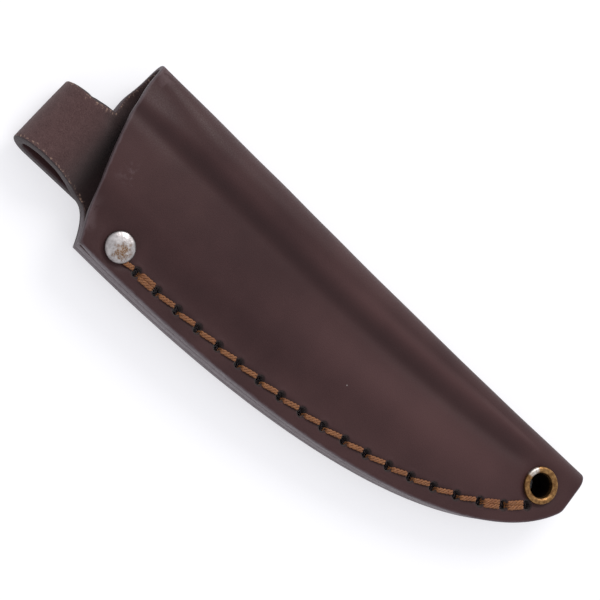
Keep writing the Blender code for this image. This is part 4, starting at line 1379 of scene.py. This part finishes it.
# %% [markdown]
# ## Laying out the seam
# Each stitch leaves a hole on its lower side and enters the next on its upper side, which gives the
# slant of a saddle stitch. The maker sewed back over the first stitch and the last two to lock the
# thread, so those are doubled. The first stitch of all comes out from under the rivet.

# %% Lay out the stitches
SLANT, BESIDE, NEAR_RIM = 0.40 * MM, 0.66 * MM, 0.92 * MM


def seam_height(place, side):
    return float(base(place[0])) + (STACK if side > 0 else 0.0)


def stitch_ends(i, offset, slant):
    """Start and end of the stitch from hole i to the next, as (x, depth)."""
    start, end = HOLES[i], HOLES[i + 1]
    along = (end - start) / np.linalg.norm(end - start)
    lower = np.array((-along[1], along[0]))
    return (start + along * NEAR_RIM + lower * (offset + slant),
            end - along * NEAR_RIM + lower * (offset - slant))


def seam_stitches():
    last = len(HOLES) - 2
    stitches = []
    for side in (1, -1):
        for i in range(last + 1):
            doubled = i == 0 or i >= last - 1
            for offset in ((BESIDE, -BESIDE * 0.9) if doubled else (0.0,)):
                stitches.append((*stitch_ends(i, offset, SLANT * (0.3 if doubled else 1)), side))
    along = direction_at(0)
    lower = np.array((-along[1], along[0]))
    under_rivet = HOLES[0] - along * 5.6 * MM + lower * 0.5 * MM
    stitches.append((under_rivet, HOLES[0] - along * NEAR_RIM - lower * 0.3 * MM, 1))
    return stitches


def seam_input(stitches):
    mesh = bpy.data.meshes.new("seam_paths")
    places = [(*end, seam_height(end, side)) for a, b, side in stitches for end in (a, b)]
    edges = [(2 * i, 2 * i + 1) for i in range(len(stitches))]
    mesh.from_pydata(in_frame(places).tolist(), edges, [])
    sides = [side for _, _, side in stitches for _ in range(2)]
    outward = mesh.attributes.new("outward", "FLOAT_VECTOR", "POINT")
    outward.data.foreach_set("vector", [c for side in sides for c in (0.0, 0.0, float(side))])
    number = mesh.attributes.new("stitch", "INT", "POINT")
    number.data.foreach_set("value", [i // 2 for i in range(2 * len(stitches))])
    return mesh


def grown(name, mesh, tree, **inputs):
    """Run a Geometry Nodes tree on a mesh and keep its result as a plain mesh."""
    seed = bpy.data.objects.new(name + "_seed", mesh)
    bpy.context.scene.collection.objects.link(seed)
    nodes = seed.modifiers.new("Grow", "NODES")
    nodes.node_group = tree
    for item in tree.interface.items_tree:
        key = item.name.replace(" ", "_")
        if item.in_out == "INPUT" and key in inputs:
            nodes[item.identifier] = inputs[key]
    bpy.context.view_layer.update()
    result = bpy.data.meshes.new_from_object(seed.evaluated_get(bpy.context.evaluated_depsgraph_get()))
    seed.modifiers.remove(nodes)
    bpy.data.objects.remove(seed)
    result.name = name
    return result


STITCHES = seam_stitches()
thread_mesh = grown("seam_stitches", seam_input(STITCHES), STITCH_TREE, Material=WAXED_THREAD,
                    Turns=1.6, Seed=7)
print(len(STITCHES), "stitches,", len(thread_mesh.polygons), "faces")

# %% [markdown]
# ## Putting the sheath together
# Every piece rides on the sheath's one body and stands for the plain solid it replaces.

# %% Assemble
BODY = next(iter(frame["bodies"]))
assembled = [
    (piece("sheath_body", leather_mesh, GRAIN_LEATHER, SUEDE_FLESH, CUT_EDGE),
     "sheath_leather", "brown_leather"),
    (piece("welt_layer", welt_mesh, SUEDE_FLESH, SUEDE_FLESH, WELT_EDGE), "welt", "welt_leather"),
    (piece("seam_stitches", thread_mesh), "seam_thread", "waxed_thread"),
    (piece("rivet_head", cap_mesh, WORN_NICKEL), "rivet_cap", "rivet_nickel"),
    (piece("rivet_back", base_mesh, WORN_NICKEL), "rivet_post", "rivet_nickel"),
    (piece("eyelet_ring", eyelet_mesh, OLD_BRASS), "eyelet", "antique_brass"),
    (piece("eyelet_back_ring", washer_mesh, OLD_BRASS), "eyelet_washer", "antique_brass"),
]
for made, node, slot in assembled:
    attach(made, BODY)
    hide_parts(node)
print(len(assembled), "pieces ride on", BODY)

# %% [markdown]
# ## Floor, light and camera
# A pale floor and a bright, even surround keep the attention on the leather. One large soft light
# from the spine side leaves the shadow on the sewn side. The floor gives a little light of its own,
# like a light table, which keeps that shadow faint; below the eyelet it gives none, so the hole
# stays dark.

# %% Stage
SURROUND, FLOOR_GLOW = 0.82, 0.60
KEY_FROM, KEY_SIZE, KEY_POWER = (-0.06, 0.56, 0.44), 0.45, 2.7
LOOK_AT = (58 * MM, 19 * MM, 5 * MM)


def pale_floor():
    material, tree, shader, place = finish(
        "pale_floor", Specular_IOR_Level=0.1, Roughness=0.9, Emission_Strength=FLOOR_GLOW)
    cloth = noise_at(tree, place, 9.0, 2.0)
    wired(tree, shader, blended(tree, cloth, (0.45, 0.45, 0.455, 1), (0.47, 0.47, 0.475, 1)))
    below_eyelet = Vector(in_frame((*EYELET_AT, 0))[0])
    open_floor = ramped(tree, vectors(tree, "DISTANCE", place, below_eyelet), 4.5 * MM, 8.0 * MM)
    lit = blended(tree, open_floor, (0.0, 0.0, 0.0, 1), (0.97, 0.965, 1.0, 1))
    tree.links.new(lit, shader.inputs["Emission Color"])
    mesh = bpy.data.meshes.new("floor")
    reach = 3.0
    mesh.from_pydata([(-reach, -reach, 0), (reach, -reach, 0), (reach, reach, 0), (-reach, reach, 0)],
                     [], [(0, 1, 2, 3)])
    return piece("floor", mesh, material)


def soft_light(name, towards, aim, size, power, colour):
    data = bpy.data.lights.new(name, "AREA")
    data.shape, data.size, data.energy, data.color = "DISK", size, power, colour
    light = bpy.data.objects.new(name, data)
    light.location = Vector(aim) + Vector(towards)
    light.rotation_euler = (-Vector(towards)).to_track_quat("-Z", "Y").to_euler()
    bpy.context.scene.collection.objects.link(light)
    return light


pale_floor()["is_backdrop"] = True
world = bpy.data.worlds.new("surround")
world.use_nodes = True
world.node_tree.nodes["Background"].inputs["Color"].default_value = (0.96, 0.97, 1.0, 1.0)
world.node_tree.nodes["Background"].inputs["Strength"].default_value = SURROUND
bpy.context.scene.world = world
aim = in_frame(LOOK_AT)[0]
soft_light("key", KEY_FROM, aim, KEY_SIZE, KEY_POWER, (1.0, 0.985, 0.97))
bpy.context.scene.view_settings.view_transform = "Standard"
print("light on", [round(float(c), 4) for c in aim])

# %% [markdown]
# ## Camera
# The camera looks down from a little to the throat side, turned so the sheath lies corner to corner.
# It is built from its own three axes, which is simpler to read than three rotation angles.

# %% Camera
TILT, TURN = math.radians(24), math.radians(41)
DISTANCE, LENS, SENSOR = 0.700, 158.3, 36.0


def look():
    right = Vector((math.cos(TILT) * math.cos(TURN), math.cos(TILT) * math.sin(TURN), math.sin(TILT)))
    up = Vector((-math.sin(TURN), math.cos(TURN), 0.0))
    back = right.cross(up)
    data = bpy.data.cameras.new("table_camera")
    data.lens, data.sensor_width, data.sensor_fit = LENS, SENSOR, "HORIZONTAL"
    data.clip_start, data.clip_end = 0.01, 20.0
    camera = bpy.data.objects.new("table_camera", data)
    camera.matrix_world = Matrix.Translation(Vector(aim) + back * DISTANCE) @ Matrix(
        (right, up, back)).transposed().to_4x4()
    bpy.context.scene.collection.objects.link(camera)
    bpy.context.scene.camera = camera
    return camera


print("camera at", [round(c, 3) for c in look().location])

# %% [markdown]
# ## The sizes at the end
# Both boxes, the frame's and the finished sheath's, are printed. The finished sheath
# has to stay inside the frame's box.

# %% Finish
visual_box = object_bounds()
sizes = {"cad": [list(c) for c in cad_box], "visual": [list(c) for c in visual_box]}
for name, corners in sizes.items():
    print(name, "box in mm:", [[round(c * 1000, 2) for c in corner] for corner in corners])
